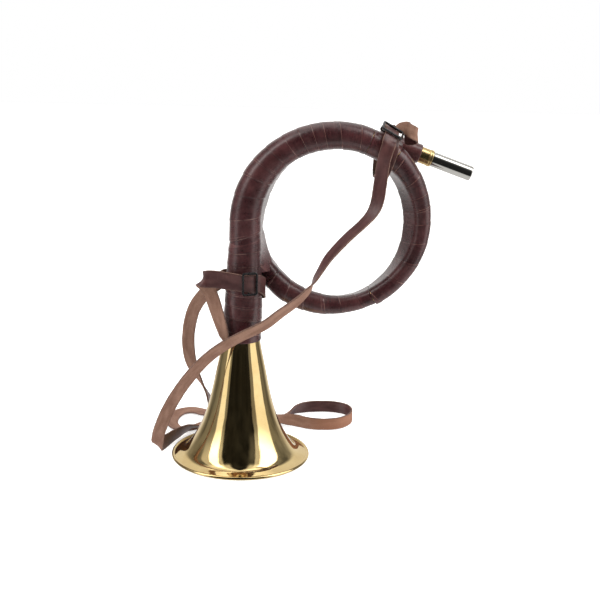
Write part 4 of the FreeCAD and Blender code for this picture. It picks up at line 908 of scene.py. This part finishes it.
def at_upper(out, y, along):
    """Point by distance out of the ring centre, y, and clockwise along the ring."""
    return place(RING_X, 0, RING_Z) + UPPER_OUT * out + place(0, y, 0) + UPPER_ALONG * along


def at_arc(degrees, radius, along):
    """Point on an arc over the turns: 0 degrees is outward, positive towards the front."""
    a = radians(degrees)
    return at_upper(BUNDLE_R + radius * cos(a), BUNDLE_Y - radius * sin(a), along)


def at_branch(degrees, radius, z):
    """Point about the branch: 0 degrees is the front, positive towards the right."""
    a = radians(degrees)
    return place(BRANCH_AXIS_X + radius * sin(a), -radius * cos(a), z)


# Stations of the strap, from the upper end to the lower one. Each run has a placing function,
# a base width and rows of: three coordinates for the function, the direction of the strap's
# width (x, y, z), and what is added to the base width.
STRAP_RUNS = [
    (place, STRAP_W, [
        (127.8, 17.2, 264.2, 0.00, 0.00, -1.00, -3.0),
        (130.8, 15.8, 264.6, 0.05, 0.00, -1.00, -0.6),
        (133.8, 12.8, 265.6, 0.10, 0.05, -1.00, 0), (136.1, 9.0, 267.3, 0.10, 0.00, -0.99, 0),
        (136.2, 5.0, 269.4, 0.08, -0.10, -0.98, 0), (133.6, 3.4, 271.4, 0.00, -0.20, -0.97, 0),
        (130.6, 6.6, 272.7, -0.05, -0.28, -0.95, 0),
        (129.8, 12.8, 273.4, -0.12, -0.20, -0.97, 0),
        (125.8, 17.6, 273.2, -0.42, -0.36, -0.80, 0),
        (119.8, 18.4, 271.6, -0.75, -0.42, -0.10, 0),
        (117.4, 16.2, 270.6, -0.85, -0.15, 0.40, 0)]),
    (at_arc, STRAP_W, [
        (-15, ARC_IN, 1.4, -0.866, 0, 0.5, 0.8), (0, ARC_IN, 1.6, -0.866, 0, 0.5, 1.2),
        (20, ARC_IN, 2.2, -0.866, 0, 0.5, 1.2), (40, ARC_IN, 3.2, -0.866, 0, 0.5, 1.2),
        (58, ARC_IN, 4.6, -0.866, 0, 0.5, 1.2)]),
    (at_upper, STRAP_W, [
        (74.0, -4.0, 6.4, -0.866, 0, 0.5, 1.0), (67.6, -5.2, 8.2, -0.866, 0.05, 0.5, 0.8),
        (59.4, -5.0, 10.0, -0.85, 0.1, 0.52, 0.6), (51.2, -1.6, 11.6, -0.85, 0.15, 0.5, 0.4),
        (46.4, 6.6, 12.8, -0.86, 0.1, 0.5, 0.4), (47.0, 17.6, 12.6, -0.86, 0, 0.5, 0.4),
        (51.8, 27.6, 10.6, -0.86, 0, 0.5, 0.4), (59.6, 34.8, 7.6, -0.866, 0, 0.5, 0.4),
        (68.8, 38.4, 4.6, -0.866, 0, 0.5, 0.4), (77.8, 36.8, 2.2, -0.866, 0, 0.5, 0.4),
        (83.2, 29.8, 1.2, -0.866, 0, 0.5, 0.4), (84.8, 20.6, 1.0, -0.866, 0, 0.5, 0.4)]),
    (at_arc, STRAP_W, [
        (-15, ARC_OUT, 1.0, -0.866, 0, 0.5, 0.4), (0, ARC_OUT, 1.1, -0.866, 0, 0.5, 0.4),
        (20, ARC_OUT, 1.3, -0.866, 0, 0.5, 0.4), (40, ARC_OUT, 1.6, -0.866, 0, 0.5, 0.4),
        (58, ARC_OUT, 1.9, -0.87, 0, 0.49, 0.4)]),
    (place, STRAP_W, [
        (113.6, -7.6, 262.2, -0.87, 0.25, 0.24, 0.2),
        (112.0, -8.8, 257.6, -0.90, 0.22, 0.23, 0.2),
        (110.6, -9.8, 252.3, -0.92, 0.36, 0.13, 0.2),
        (109.2, -10.8, 243.8, -0.93, 0.37, 0.09, 0.2),
        (108.3, -11.6, 236.0, -0.94, 0.34, 0.07, 0.2),
        (107.4, -12.4, 228.2, -0.96, 0.28, 0.09, 0.2),
        (106.5, -13.2, 221.2, -0.91, 0.39, 0.14, 0.2),
        (104.7, -14.0, 214.7, -0.79, 0.55, 0.26, 0.2),
        (101.1, -14.8, 208.3, -0.57, 0.75, 0.33, 0), (94.2, -15.8, 200.7, -0.41, 0.86, 0.30, 0),
        (85.0, -16.8, 192.1, -0.40, 0.86, 0.31, 0), (75.8, -17.8, 182.4, -0.41, 0.87, 0.28, 0),
        (68.5, -18.7, 173.6, -0.40, 0.89, 0.20, 0), (62.8, -19.5, 164.1, -0.30, 0.95, 0.09, 0),
        (58.3, -20.2, 156.3, -0.15, 0.99, 0.00, 0), (53.8, -20.9, 148.6, 0.35, 0.88, -0.33, 0),
        (48.0, -21.4, 141.9, 0.42, 0.77, -0.48, 0), (40.9, -21.9, 135.8, 0.43, 0.67, -0.61, 0),
        (31.6, -22.6, 128.9, 0.45, 0.62, -0.64, 0), (19.8, -23.3, 119.6, 0.41, 0.57, -0.71, 0),
        (0.0, -24.1, 109.3, 0.41, 0.53, -0.75, 0), (-15.9, -24.2, 99.5, 0.52, 0.49, -0.70, 0),
        (-29.3, -23.9, 87.8, 0.65, 0.45, -0.61, 0), (-41.4, -22.8, 73.1, 0.77, 0.35, -0.54, 0),
        (-51.4, -21.0, 57.9, 0.84, 0.30, -0.45, 0), (-59.7, -18.6, 41.7, 0.91, 0.21, -0.37, 0),
        (-65.4, -15.6, 26.5, 0.94, 0.14, -0.32, 0), (-67.2, -12.6, 19.8, 0.88, 0.00, -0.46, 0),
        (-68.4, -8.6, 11.6, 0.82, 0.10, -0.58, 0), (-68.2, -3.2, 7.0, 0.66, 0.16, -0.74, 0),
        (-65.7, 4.2, 6.2, 0.46, 0.20, -0.87, 0), (-62.4, 12.4, 6.1, 0.28, 0.25, -0.93, 0),
        (-58.6, 21.4, 6.1, 0.12, 0.30, -0.95, 0), (-54.0, 31.2, 5.8, 0.00, 0.42, -0.91, 0),
        (-47.4, 42.4, 4.8, -0.14, 0.62, -0.77, 0), (-36.8, 53.6, 2.6, -0.50, 0.78, -0.36, 0),
        (-22.8, 62.4, 1.5, -0.3, 0.94, -0.12, 0), (-5.8, 66.6, 1.2, -0.1, 0.99, 0, 0),
        (11.2, 69.0, 1.2, -0.2, 0.97, 0, 0), (25.2, 74.6, 1.4, -0.5, 0.84, -0.06, 0),
        (34.6, 84.0, 2.6, -0.6, 0.66, -0.42, 0), (43.2, 93.6, 5.0, -0.3, 0.36, -0.88, 0),
        (53.8, 100.4, 5.8, -0.05, 0.08, -0.99, 0), (66.2, 103.6, 5.8, 0, 0, -1, 0),
        (80.2, 103.0, 5.8, 0, 0, -1, 0), (91.2, 96.6, 5.8, 0, 0, -1, 0),
        (95.6, 85.0, 5.8, 0, 0, -1, 0), (93.0, 72.0, 5.8, 0, 0, -1, 0),
        (84.2, 61.8, 5.8, 0, 0, -1, 0), (70.8, 57.8, 5.8, 0, 0, -1, 0),
        (56.8, 59.4, 6.0, 0.0, -0.1, -0.99, 0), (44.2, 64.4, 6.6, -0.06, -0.42, -0.9, 0),
        (30.2, 70.6, 5.6, -0.3, -0.90, -0.32, 0), (14.2, 76.6, 5.0, -0.3, -0.95, 0, 0),
        (-3.8, 79.6, 3.4, 0.0, -1.0, 0.1, 0), (-19.8, 75.6, 2.2, 0.35, -0.92, 0.1, 0),
        (-32.2, 66.4, 1.8, 0.66, -0.72, 0.05, 0), (-41.4, 56.0, 1.8, 0.66, -0.72, 0.05, 0),
        (-49.4, 49.6, 1.9, 0.3, -0.93, 0.12, 0), (-57.0, 51.0, 2.0, -0.5, -0.84, 0.15, 0),
        (-62.4, 59.0, 2.1, -0.9, -0.40, 0.15, 0), (-64.2, 70.0, 2.1, -0.98, 0.0, 0.15, 0),
        (-62.8, 82.0, 2.1, -0.95, 0.28, 0.15, 0), (-58.2, 92.0, 2.1, -0.70, 0.70, 0.12, 0),
        (-50.2, 96.4, 2.2, -0.05, 0.99, 0.12, 0), (-42.4, 92.4, 2.9, 0.60, 0.78, 0.12, 0),
        (-35.8, 83.0, 5.0, 0.80, 0.58, 0.2, 0), (-31.2, 72.0, 9.6, 0.75, 0.62, 0.3, 0),
        (-29.0, 60.6, 17.4, 0.50, 0.74, 0.45, 0), (-29.4, 51.0, 27.0, 0.16, 0.90, 0.42, 0),
        (-32.0, 44.0, 38.0, -0.18, 0.93, 0.32, 0), (-36.0, 38.0, 49.0, -0.5, 0.84, 0.2, 0),
        (-40.6, 32.4, 60.0, -0.80, 0.58, 0.05, 0), (-43.6, 26.0, 72.0, -0.93, 0.34, -0.05, 0),
        (-44.8, 18.6, 86.0, -0.98, 0.16, 0.0, 0), (-44.4, 12.6, 99.0, -0.99, 0.10, 0.06, 0),
        (-42.4, 7.2, 112.0, -0.98, 0.06, 0.18, 0), (-38.6, 2.0, 125.0, -0.93, 0.03, 0.36, 0),
        (-32.4, -1.8, 135.6, -0.80, 0.0, 0.60, 0), (-25.2, -2.4, 143.4, -0.60, 0.0, 0.80, 0.8),
        (-18.4, 0.6, 148.6, -0.38, 0.0, 0.92, 2.0)]),
    (at_branch, LOWER_W, [
        (-114, 17.4, 150.4, -0.15, 0, 0.99, -0.8), (-140, 16.9, 148.6, -0.02, 0, 1, -0.4),
        (-165, 16.9, 144.6, 0, 0, 1, -0.4), (-190, 16.9, 141.4, 0, 0, 1, -0.4),
        (-212, 16.9, 139.8, 0, 0, 1, -0.4), (-233, 16.9, 139.6, 0, 0, 1, -0.4),
        (-256, 16.9, 141.6, 0, 0, 1, -0.4), (-280, 16.9, 145.6, 0, 0, 1, -0.4),
        (-302, 17.2, 149.0, 0, 0, 1, -0.4), (45, 17.85, 150.7, 0, 0, 1, -0.4),
        (33, 18.0, 151.2, 0, 0, 1, -0.4), (21, 18.0, 151.5, 0, 0, 1, -0.4),
        (9, 18.0, 151.7, 0, 0, 1, -0.4), (-3, 18.0, 152.0, 0, 0, 1, -0.4),
        (-13, 18.0, 152.4, 0, 0, 1, -0.3)]),
    (place, LOWER_W, [
        (-11.2, -15.9, 153.2, 0.05, 0, 1, 0), (-19.4, -14.6, 153.9, 0.10, 0, 1, 0),
        (-25.8, -13.8, 153.9, 0.25, 0, 0.97, 0), (-30.2, -12.4, 152.8, 0.50, 0, 0.86, -0.4),
        (-31.0, -10.2, 151.2, 0.70, 0, 0.71, -0.8), (-29.0, -8.6, 148.4, 0.86, 0, 0.50, -1.4),
        (-26.2, -8.8, 144.4, 0.93, -0.02, 0.37, -2.2)]),
    (place, STRAP_W, [
        (-22.8, -10.4, 136.6, 0.94, -0.1, 0.33, 0.6),
        (-19.4, -12.8, 127.0, 0.92, -0.22, 0.31, 0.4),
        (-16.0, -14.9, 117.0, 0.87, -0.38, 0.30, 0),
        (-13.4, -16.1, 109.0, 0.86, -0.42, 0.28, -1.4),
        (-12.0, -16.5, 104.6, 0.86, -0.42, 0.28, -5.0),
        (-11.4, -16.6, 102.6, 0.86, -0.42, 0.28, -8.4)]),
]


def ribbon(step):
    """Centres, width directions, normals and widths along a smooth curve through the stations."""
    points, sides, widths = [], [], []
    for placing, base, rows in STRAP_RUNS:
        for row in rows:
            points.append(placing(*row[:3]))
            sides.append(np.array(row[3:6], float))
            widths.append(base + row[6])
    knots = [0.0]
    for a, b in zip(points, points[1:]):
        knots.append(knots[-1] + sqrt(np.linalg.norm(b - a)))

    def slope(values, i):
        """Slope at an inner station, weighted by the two knot spans."""
        before, after = knots[i] - knots[i - 1], knots[i + 1] - knots[i]
        return ((values[i + 1] - values[i]) / after * before
                + (values[i] - values[i - 1]) / before * after) / (before + after)

    def curve(values, i, q):
        p1, p2 = values[i], values[i + 1]
        h = knots[i + 1] - knots[i]
        m1 = slope(values, i) if i > 0 else (p2 - p1) / h
        m2 = slope(values, i + 1) if i + 2 < len(values) else (p2 - p1) / h
        return (p1 * (2 * q ** 3 - 3 * q * q + 1) + m1 * (h * (q ** 3 - 2 * q * q + q))
                + p2 * (3 * q * q - 2 * q ** 3) + m2 * (h * (q ** 3 - q * q)))

    centres, directions, spans = [], [], []
    for i in range(len(points) - 1):
        pieces = max(2, int(round(np.linalg.norm(points[i + 1] - points[i]) / step)))
        for j in range(pieces):
            q = j / float(pieces)
            centres.append(curve(points, i, q))
            directions.append(curve(sides, i, q))
            f = smooth01(q)
            spans.append(widths[i] * (1 - f) + widths[i + 1] * f)
    centres.append(points[-1])
    directions.append(sides[-1])
    spans.append(widths[-1])

    across, normals = [], []
    last = len(centres) - 1
    for i, span in enumerate(spans):
        along = centres[min(i + 1, last)] - centres[max(i - 1, 0)]
        along = along / np.linalg.norm(along)
        side = directions[i] - along * directions[i].dot(along)
        side = side / np.linalg.norm(side)
        normal = np.cross(along, side)
        low = centres[i][2] - abs(side[2]) * span / 2.0 - abs(normal[2]) * STRAP_T / 2.0
        if low < STRAP_LIFT:
            centres[i] = centres[i] + np.array([0, 0, STRAP_LIFT - low])
        across.append(side)
        normals.append(normal)
    return tuple(np.array(v) for v in (centres, across, normals, spans))


def strap():
    centres, sides, normals, widths = ribbon(1.3)
    lengths = np.r_[0, np.cumsum(np.linalg.norm(np.diff(centres, axis=0), axis=1))]
    half_t = STRAP_T / 2 - 0.02
    corner = 0.42     # rounding of the edges
    hollow = 0.035    # dip in the middle of each face
    flat_points = 9
    shares = [-1 + 2.0 * k / (flat_points - 1) for k in range(flat_points)]
    # section: (face, share of the half width) on the faces, (edge, angle) on the cut edges
    section = [("flesh", share) for share in shares]
    section += [("edge", angle) for angle in (60, 30, 0, 0, 0, -30, -60)]
    section += [("grain", -share) for share in shares]
    section += [("edge", angle) for angle in (-120, -150, -180, 180, 180, 150, 120)]

    # slightly uneven cut along the length
    rs = np.random.RandomState(4)
    wobble = sum(a * np.sin(lengths * f + phase)
                 for a, f, phase in zip(rs.uniform(0.02, 0.06, 6), rs.uniform(0.05, 0.6, 6),
                                        rs.uniform(0, 6, 6)))
    half_w = widths / 2 - corner - 0.05 - np.abs(wobble) * 0.8
    n, m = len(lengths), len(section)
    verts = np.zeros((n, m, 3))
    across = []
    for j, (face, value) in enumerate(section):
        if face == "edge":
            angle = radians(value)
            side = math.copysign(1.0, cos(angle))
            x = side * half_w + corner * cos(angle)
            y = (half_t - corner) * np.sign(round(sin(angle), 6)) + corner * sin(angle)
            across.append(side * 1.02)
        else:
            x = value * half_w
            y = (1 if face == "flesh" else -1) * (half_t - hollow * (1 - value * value))
            across.append(value)
        verts[:, j] = centres + sides * x[:, None] + normals * y
    across.append(across[0])

    faces, corners = grid_faces(n, m)
    slots = {"grain": 0, "flesh": 1, "edge": 2}
    face_materials, uv = [], []
    for quad in corners:
        j = quad[0][1]
        a, b = section[j][0], section[(j + 1) % m][0]
        face_materials.append(slots[a if a == b else "edge"])
        uv += [(lengths[i], across[column]) for i, column in quad]
    for end in (0, n - 1):
        faces.append(tuple(end * m + j for j in range(m)))
        face_materials.append(slots["edge"])
        uv += [(lengths[end], across[j]) for j in range(m)]
    build("long_strap", verts.reshape(-1, 3), faces, [GRAIN, FLESH, CUT], "horn",
          ["shoulder_strap"], sharp=50, uvs={"strip": uv},
          face_materials=face_materials)


strap()

# ---------------------------------------------------------------- strap slides
FRAME_WIRE = 1.7                    # thickness of the frame's squarish wire
FRAME_HALF_U = 6.5 - FRAME_WIRE / 2
FRAME_HALF_V = 9.5 - FRAME_WIRE / 2
FRAME_CORNER = 1.5
BAR_R, BAR_BEND = 0.8, 0.95         # round bar: radius, bend radius


def sweep(name, path, up, section, closed, body, node):
    """Section (a, b) swept along a path: a lies across the path, b along the up direction."""
    path = np.array(path, float)
    n, m = len(path), len(section)
    rings = []
    for i in range(n):
        if closed:
            along = path[(i + 1) % n] - path[(i - 1) % n]
        else:
            along = path[min(i + 1, n - 1)] - path[max(i - 1, 0)]
        along /= np.linalg.norm(along)
        side = np.cross(along, up)
        side /= np.linalg.norm(side)
        rise = np.cross(side, along)
        rings.append([path[i] + side * a + rise * b for a, b in section])
    faces, _ = grid_faces(n, m, wrap_rings=closed)
    if not closed:
        faces += [tuple(end * m + j for j in range(m)) for end in (0, n - 1)]
    build(name, np.array(rings).reshape(-1, 3), faces, [STEEL], body, [node],
          sharp=45)


def round_rect(half_x, half_y, radius, steps=8, spacing=1.2):
    """Rounded rectangle, its straight runs filled with points."""
    x, y = half_x - radius, half_y - radius
    points = []
    for cx, cy, start in ((x, y, 0), (-x, y, 90), (-x, -y, 180), (x, -y, 270)):
        for i in range(steps + 1):
            a = radians(start + 90.0 * i / steps)
            points.append((cx + radius * cos(a), cy + radius * sin(a)))
    out = []
    for i in range(len(points)):
        a, b = np.array(points[i]), np.array(points[(i + 1) % len(points)])
        pieces = max(1, int(np.linalg.norm(b - a) / spacing))
        out += [a + (b - a) * j / pieces for j in range(pieces)]
    return out


def slide(name, centre, out, u, bar_distance, frame_distance):
    """Wire frame and a bar bent up to it, at their distances out from a centre."""
    out, u, centre = np.array(out, float), np.array(u, float), np.array(centre, float)
    v = np.cross(out, u)

    def soft(value):
        return FRAME_WIRE / 2 * math.copysign(abs(value) ** 0.55, value)

    angles = [2 * pi * k / 20 for k in range(20)]
    section = [(soft(cos(a)), soft(sin(a))) for a in angles]
    middle = centre + out * frame_distance
    path = [middle + u * a + v * b
            for a, b in round_rect(FRAME_HALF_U, FRAME_HALF_V, FRAME_CORNER)]
    sweep(name + "_wire_frame", path, out, section, True, name, name + "_frame")

    leg = (frame_distance - FRAME_WIRE / 2 - 0.03) - bar_distance
    flat = FRAME_HALF_V - BAR_BEND
    bends = [radians(90.0 * i / 8) for i in range(1, 8)]
    # (along v, outward): leg down, bend, straight, bend, leg up
    course = [(-FRAME_HALF_V, leg - (leg - BAR_BEND) * i / 5.0) for i in range(6)]
    course += [(-FRAME_HALF_V + BAR_BEND * (1 - cos(a)), BAR_BEND * (1 - sin(a)))
               for a in bends]
    course += [(-flat + 2 * flat * i / 18.0, 0.0) for i in range(19)]
    course += [(flat + BAR_BEND * sin(a), BAR_BEND * (1 - cos(a))) for a in bends]
    course += [(FRAME_HALF_V, BAR_BEND + (leg - BAR_BEND) * i / 5.0) for i in range(6)]
    middle = centre + out * bar_distance
    path = [middle + v * a + out * b for a, b in course]
    section = [(BAR_R * cos(2 * pi * k / 16), BAR_R * sin(2 * pi * k / 16)) for k in range(16)]
    sweep(name + "_bent_bar", path, u, section, False, name, name + "_bar")


_turn = radians(17)    # lower slide, turned from the front towards the right
slide("lower_slide", (BRANCH_AXIS_X, 0, LOWER_SLIDE_Z), (sin(_turn), -cos(_turn), 0),
      (cos(_turn), sin(_turn), 0), bar_distance=16.35, frame_distance=19.3)
_turn = radians(20)    # upper slide, turned from the outside of the ring towards the front
slide("upper_slide", at_upper(BUNDLE_R, BUNDLE_Y, 1.0),
      UPPER_OUT * cos(_turn) + place(0, -1, 0) * sin(_turn),
      UPPER_OUT * sin(_turn) + place(0, 1, 0) * cos(_turn),
      bar_distance=11.75, frame_distance=16.5)

# ---------------------------------------------------------------- finishes of the kept CAD pieces
KEPT = {name: material for material, names in (
    (IRON, "rim_wire"),
    (RAW, "bell_branch coil_front_tube coil_rear_tube mouthpipe bell_ferrule branch_ferrule"
          " coil_ferrule mouthpipe_ferrule coil_stays crossing_stay"),
    (NICKEL, "mouthpiece_tenon"),
    (CORK, "tenon_seal"),
    (REED, "reed_plug reed_shallot reed_wedge reed_tongue")) for name in names.split()}
for name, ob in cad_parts.items():
    if name in KEPT:
        ob.data.materials.clear()
        ob.data.materials.append(KEPT[name])
        for polygon in ob.data.polygons:
            polygon.material_index = 0


# ---------------------------------------------------------------- floor
def pale_floor():
    """Bright floor that reflections do not see."""
    material = bpy.data.materials.new("pale_floor")
    material.use_nodes = True
    g = Graph(material.node_tree)
    output = g.node("ShaderNodeOutputMaterial")
    rays = g.node("ShaderNodeLightPath")
    pos = g.node("ShaderNodeNewGeometry").outputs["Position"]
    clouds = g.noise(pos, scale=30.0, detail=2.0)
    colour = g.mix(g.ramp(clouds, lo=0.3, hi=0.7), (0.80, 0.80, 0.80), (0.82, 0.82, 0.82))
    diffuse = g.node("ShaderNodeBsdfDiffuse", {"Color": colour})
    glow = g.node("ShaderNodeEmission", {"Color": (1, 1, 1, 1), "Strength": 0.60})
    both = g.node("ShaderNodeAddShader", {0: diffuse.outputs[0], 1: glow.outputs[0]})
    clear = g.node("ShaderNodeBsdfTransparent")
    mixed = g.node("ShaderNodeMixShader", {0: rays.outputs["Is Glossy Ray"],
                                           1: both.outputs[0], 2: clear.outputs[0]})
    g.put(output.inputs[0], mixed.outputs[0])
    return material


def add_floor():
    half, z = 2.4, -0.0002
    mesh = bpy.data.meshes.new("studio_floor")
    mesh.from_pydata([(-half, -half, z), (half, -half, z), (half, half, z), (-half, half, z)],
                     [], [(0, 1, 2, 3)])
    floor = bpy.data.objects.new("studio_floor", mesh)
    bpy.context.scene.collection.objects.link(floor)
    mesh.materials.append(pale_floor())


add_floor()


# ---------------------------------------------------------------- world
def studio_world():
    """White to the camera; to everything else a dark room with tall light panels."""
    world = bpy.data.worlds.new("studio")
    bpy.context.scene.world = world
    world.use_nodes = True
    g = Graph(world.node_tree)
    output = g.node("ShaderNodeOutputWorld")
    x, y, z = g.split(g.node("ShaderNodeTexCoord").outputs["Generated"])
    # degrees: azimuth 0 towards the camera and + to the right, elevation + upwards
    azimuth = g.mul(g.math("ARCTAN2", x, g.mul(y, by=-1.0)), by=180.0 / pi)
    elevation = g.mul(g.math("ARCSINE", z), by=180.0 / pi)
    wobble = g.noise(g.vector(x=(azimuth, 0.035), y=(elevation, 0.05), z=3.0))
    azimuth = g.add(azimuth, g.mul(g.sub(wobble, 0.5), by=9.0))

    def band(lo, hi, soft):
        return g.mul(g.ramp(azimuth, lo=lo - soft, hi=lo + soft),
                     g.ramp(azimuth, lo=hi - soft, hi=hi + soft, out=(1.0, 0.0)))

    # panels at both sides with dimmer margins, brighter above
    tall = g.add(g.ramp(elevation, lo=-60.0, hi=-8.0, out=(0.55, 1.0)),
                 g.ramp(elevation, lo=10.0, hi=34.0, out=(0.0, 1.9)))
    tall = g.mul(tall, g.ramp(elevation, lo=58.0, hi=72.0, out=(1.0, 0.35)))
    panels = g.add(g.mul(band(lo=56, hi=97, soft=2.5), by=1.30),
                   g.mul(band(lo=-77, hi=-55, soft=2.0), by=1.25))
    margins = g.add(band(lo=43, hi=56, soft=2.0),
                    g.add(band(lo=-96, hi=-77, soft=3.0), band(lo=-55, hi=-46, soft=2.0)))
    panels = g.mul(g.add(panels, g.mul(margins, by=0.24)), tall)
    # wall behind the horn, dim side walls and a faint fill
    back = g.mul(g.add(g.ramp(azimuth, lo=122, hi=150),
                       g.ramp(azimuth, lo=-150, hi=-122, out=(1.0, 0.0))), by=0.85)
    side = g.mul(g.add(band(lo=97, hi=130, soft=4.0), band(lo=-130, hi=-96, soft=4.0)),
                 g.ramp(wobble, lo=0.35, hi=0.65, out=(0.10, 0.22)))
    fill = g.ramp(wobble, lo=0.3, hi=0.7, out=(0.010, 0.030))
    total = g.add(g.add(panels, back), g.add(side, fill))
    # overhead light, left out towards the camera
    overhead = g.mul(g.ramp(elevation, lo=50.0, hi=60.0),
                     g.ramp(elevation, lo=80.0, hi=88.0, out=(1.0, 0.3)))
    away = g.mul(g.ramp(g.math("ABSOLUTE", azimuth), lo=22.0, hi=34.0), by=0.8)
    total = g.add(total, g.mul(overhead, away))
    # dim grey patch, front right
    patch = g.mul(g.mul(band(lo=27, hi=44, soft=6.0), by=0.10),
                  g.mul(g.ramp(elevation, lo=16.0, hi=34.0),
                        g.ramp(elevation, lo=40.0, hi=58.0, out=(1.0, 0.0))))
    total = g.add(total, patch)
    # dark slit through the overhead light on the right
    slit = g.mul(g.mul(g.ramp(elevation, lo=62.0, hi=64.0),
                       g.ramp(elevation, lo=68.0, hi=70.0, out=(1.0, 0.0))),
                 g.mul(g.ramp(azimuth, lo=50.0, hi=62.0), by=0.9))
    total = g.mul(total, g.sub(1.0, slit))
    # even light from below
    below = g.ramp(elevation, lo=-46.0, hi=-34.0, out=(1.0, 0.0))
    total = g.add(g.mul(total, g.sub(1.0, below)), g.mul(below, by=0.72))

    room = g.node("ShaderNodeBackground", {
        "Color": g.mix(1.0, (1, 1, 1), (1.0, 0.985, 0.965)), "Strength": total})
    white = g.node("ShaderNodeBackground", {"Color": (1, 1, 1, 1), "Strength": 1.0})
    rays = g.node("ShaderNodeLightPath")
    mixed = g.node("ShaderNodeMixShader", {0: rays.outputs["Is Camera Ray"],
                                           1: room.outputs[0], 2: white.outputs[0]})
    g.put(output.inputs[0], mixed.outputs[0])


studio_world()


# ---------------------------------------------------------------- lights and camera
def area(name, location, aim, size, power, colour=(1, 1, 1)):
    light = bpy.data.lights.new(name, "AREA")
    light.shape = "RECTANGLE"
    light.size, light.size_y = size
    light.energy = power
    light.color = colour
    ob = bpy.data.objects.new(name, light)
    ob.location = location
    direction = Vector(aim) - Vector(location)
    ob.rotation_euler = direction.to_track_quat("-Z", "Y").to_euler()
    bpy.context.scene.collection.objects.link(ob)
    ob.visible_glossy = False
    ob.visible_camera = False


area("over_soft", location=(-0.15, 0.0, 1.25), aim=(0.03, 0, 0.1), size=(0.9, 0.9), power=6.0,
     colour=(1.0, 0.98, 0.96))
area("left_soft", location=(-1.1, -0.22, 0.5), aim=(0.03, 0, 0.15), size=(0.5, 0.9), power=8.0)
area("right_soft", location=(1.2, -0.22, 0.5), aim=(0.03, 0, 0.15), size=(0.5, 0.9), power=8.0)


def add_camera(location, pitch, roll):
    """Camera looking towards +Y, pitched down and rolled, both in radians."""
    camera = bpy.data.cameras.new("photo_camera")
    camera.sensor_width = 36.0
    camera.lens = 76.8
    camera.clip_start, camera.clip_end = 0.05, 20.0
    ob = bpy.data.objects.new("photo_camera", camera)
    bpy.context.scene.collection.objects.link(ob)
    forward = Vector((0, cos(pitch), -sin(pitch)))
    level = Vector((1, 0, 0))
    upright = Vector((0, sin(pitch), cos(pitch)))
    right = level * cos(roll) + upright * sin(roll)
    up = level * -sin(roll) + upright * cos(roll)
    matrix = Matrix.Identity(4)
    for column, axis in enumerate((right, up, -forward, location)):
        for i in range(3):
            matrix[i][column] = axis[i]
    ob.matrix_world = matrix
    bpy.context.scene.camera = ob


add_camera(location=(0.0472, -1.0, 0.408), pitch=radians(15.3), roll=radians(1.2))
view = bpy.context.scene.view_settings
view.view_transform = "Standard"
view.look = "None"
view.exposure = 0.0
view.gamma = 1.0
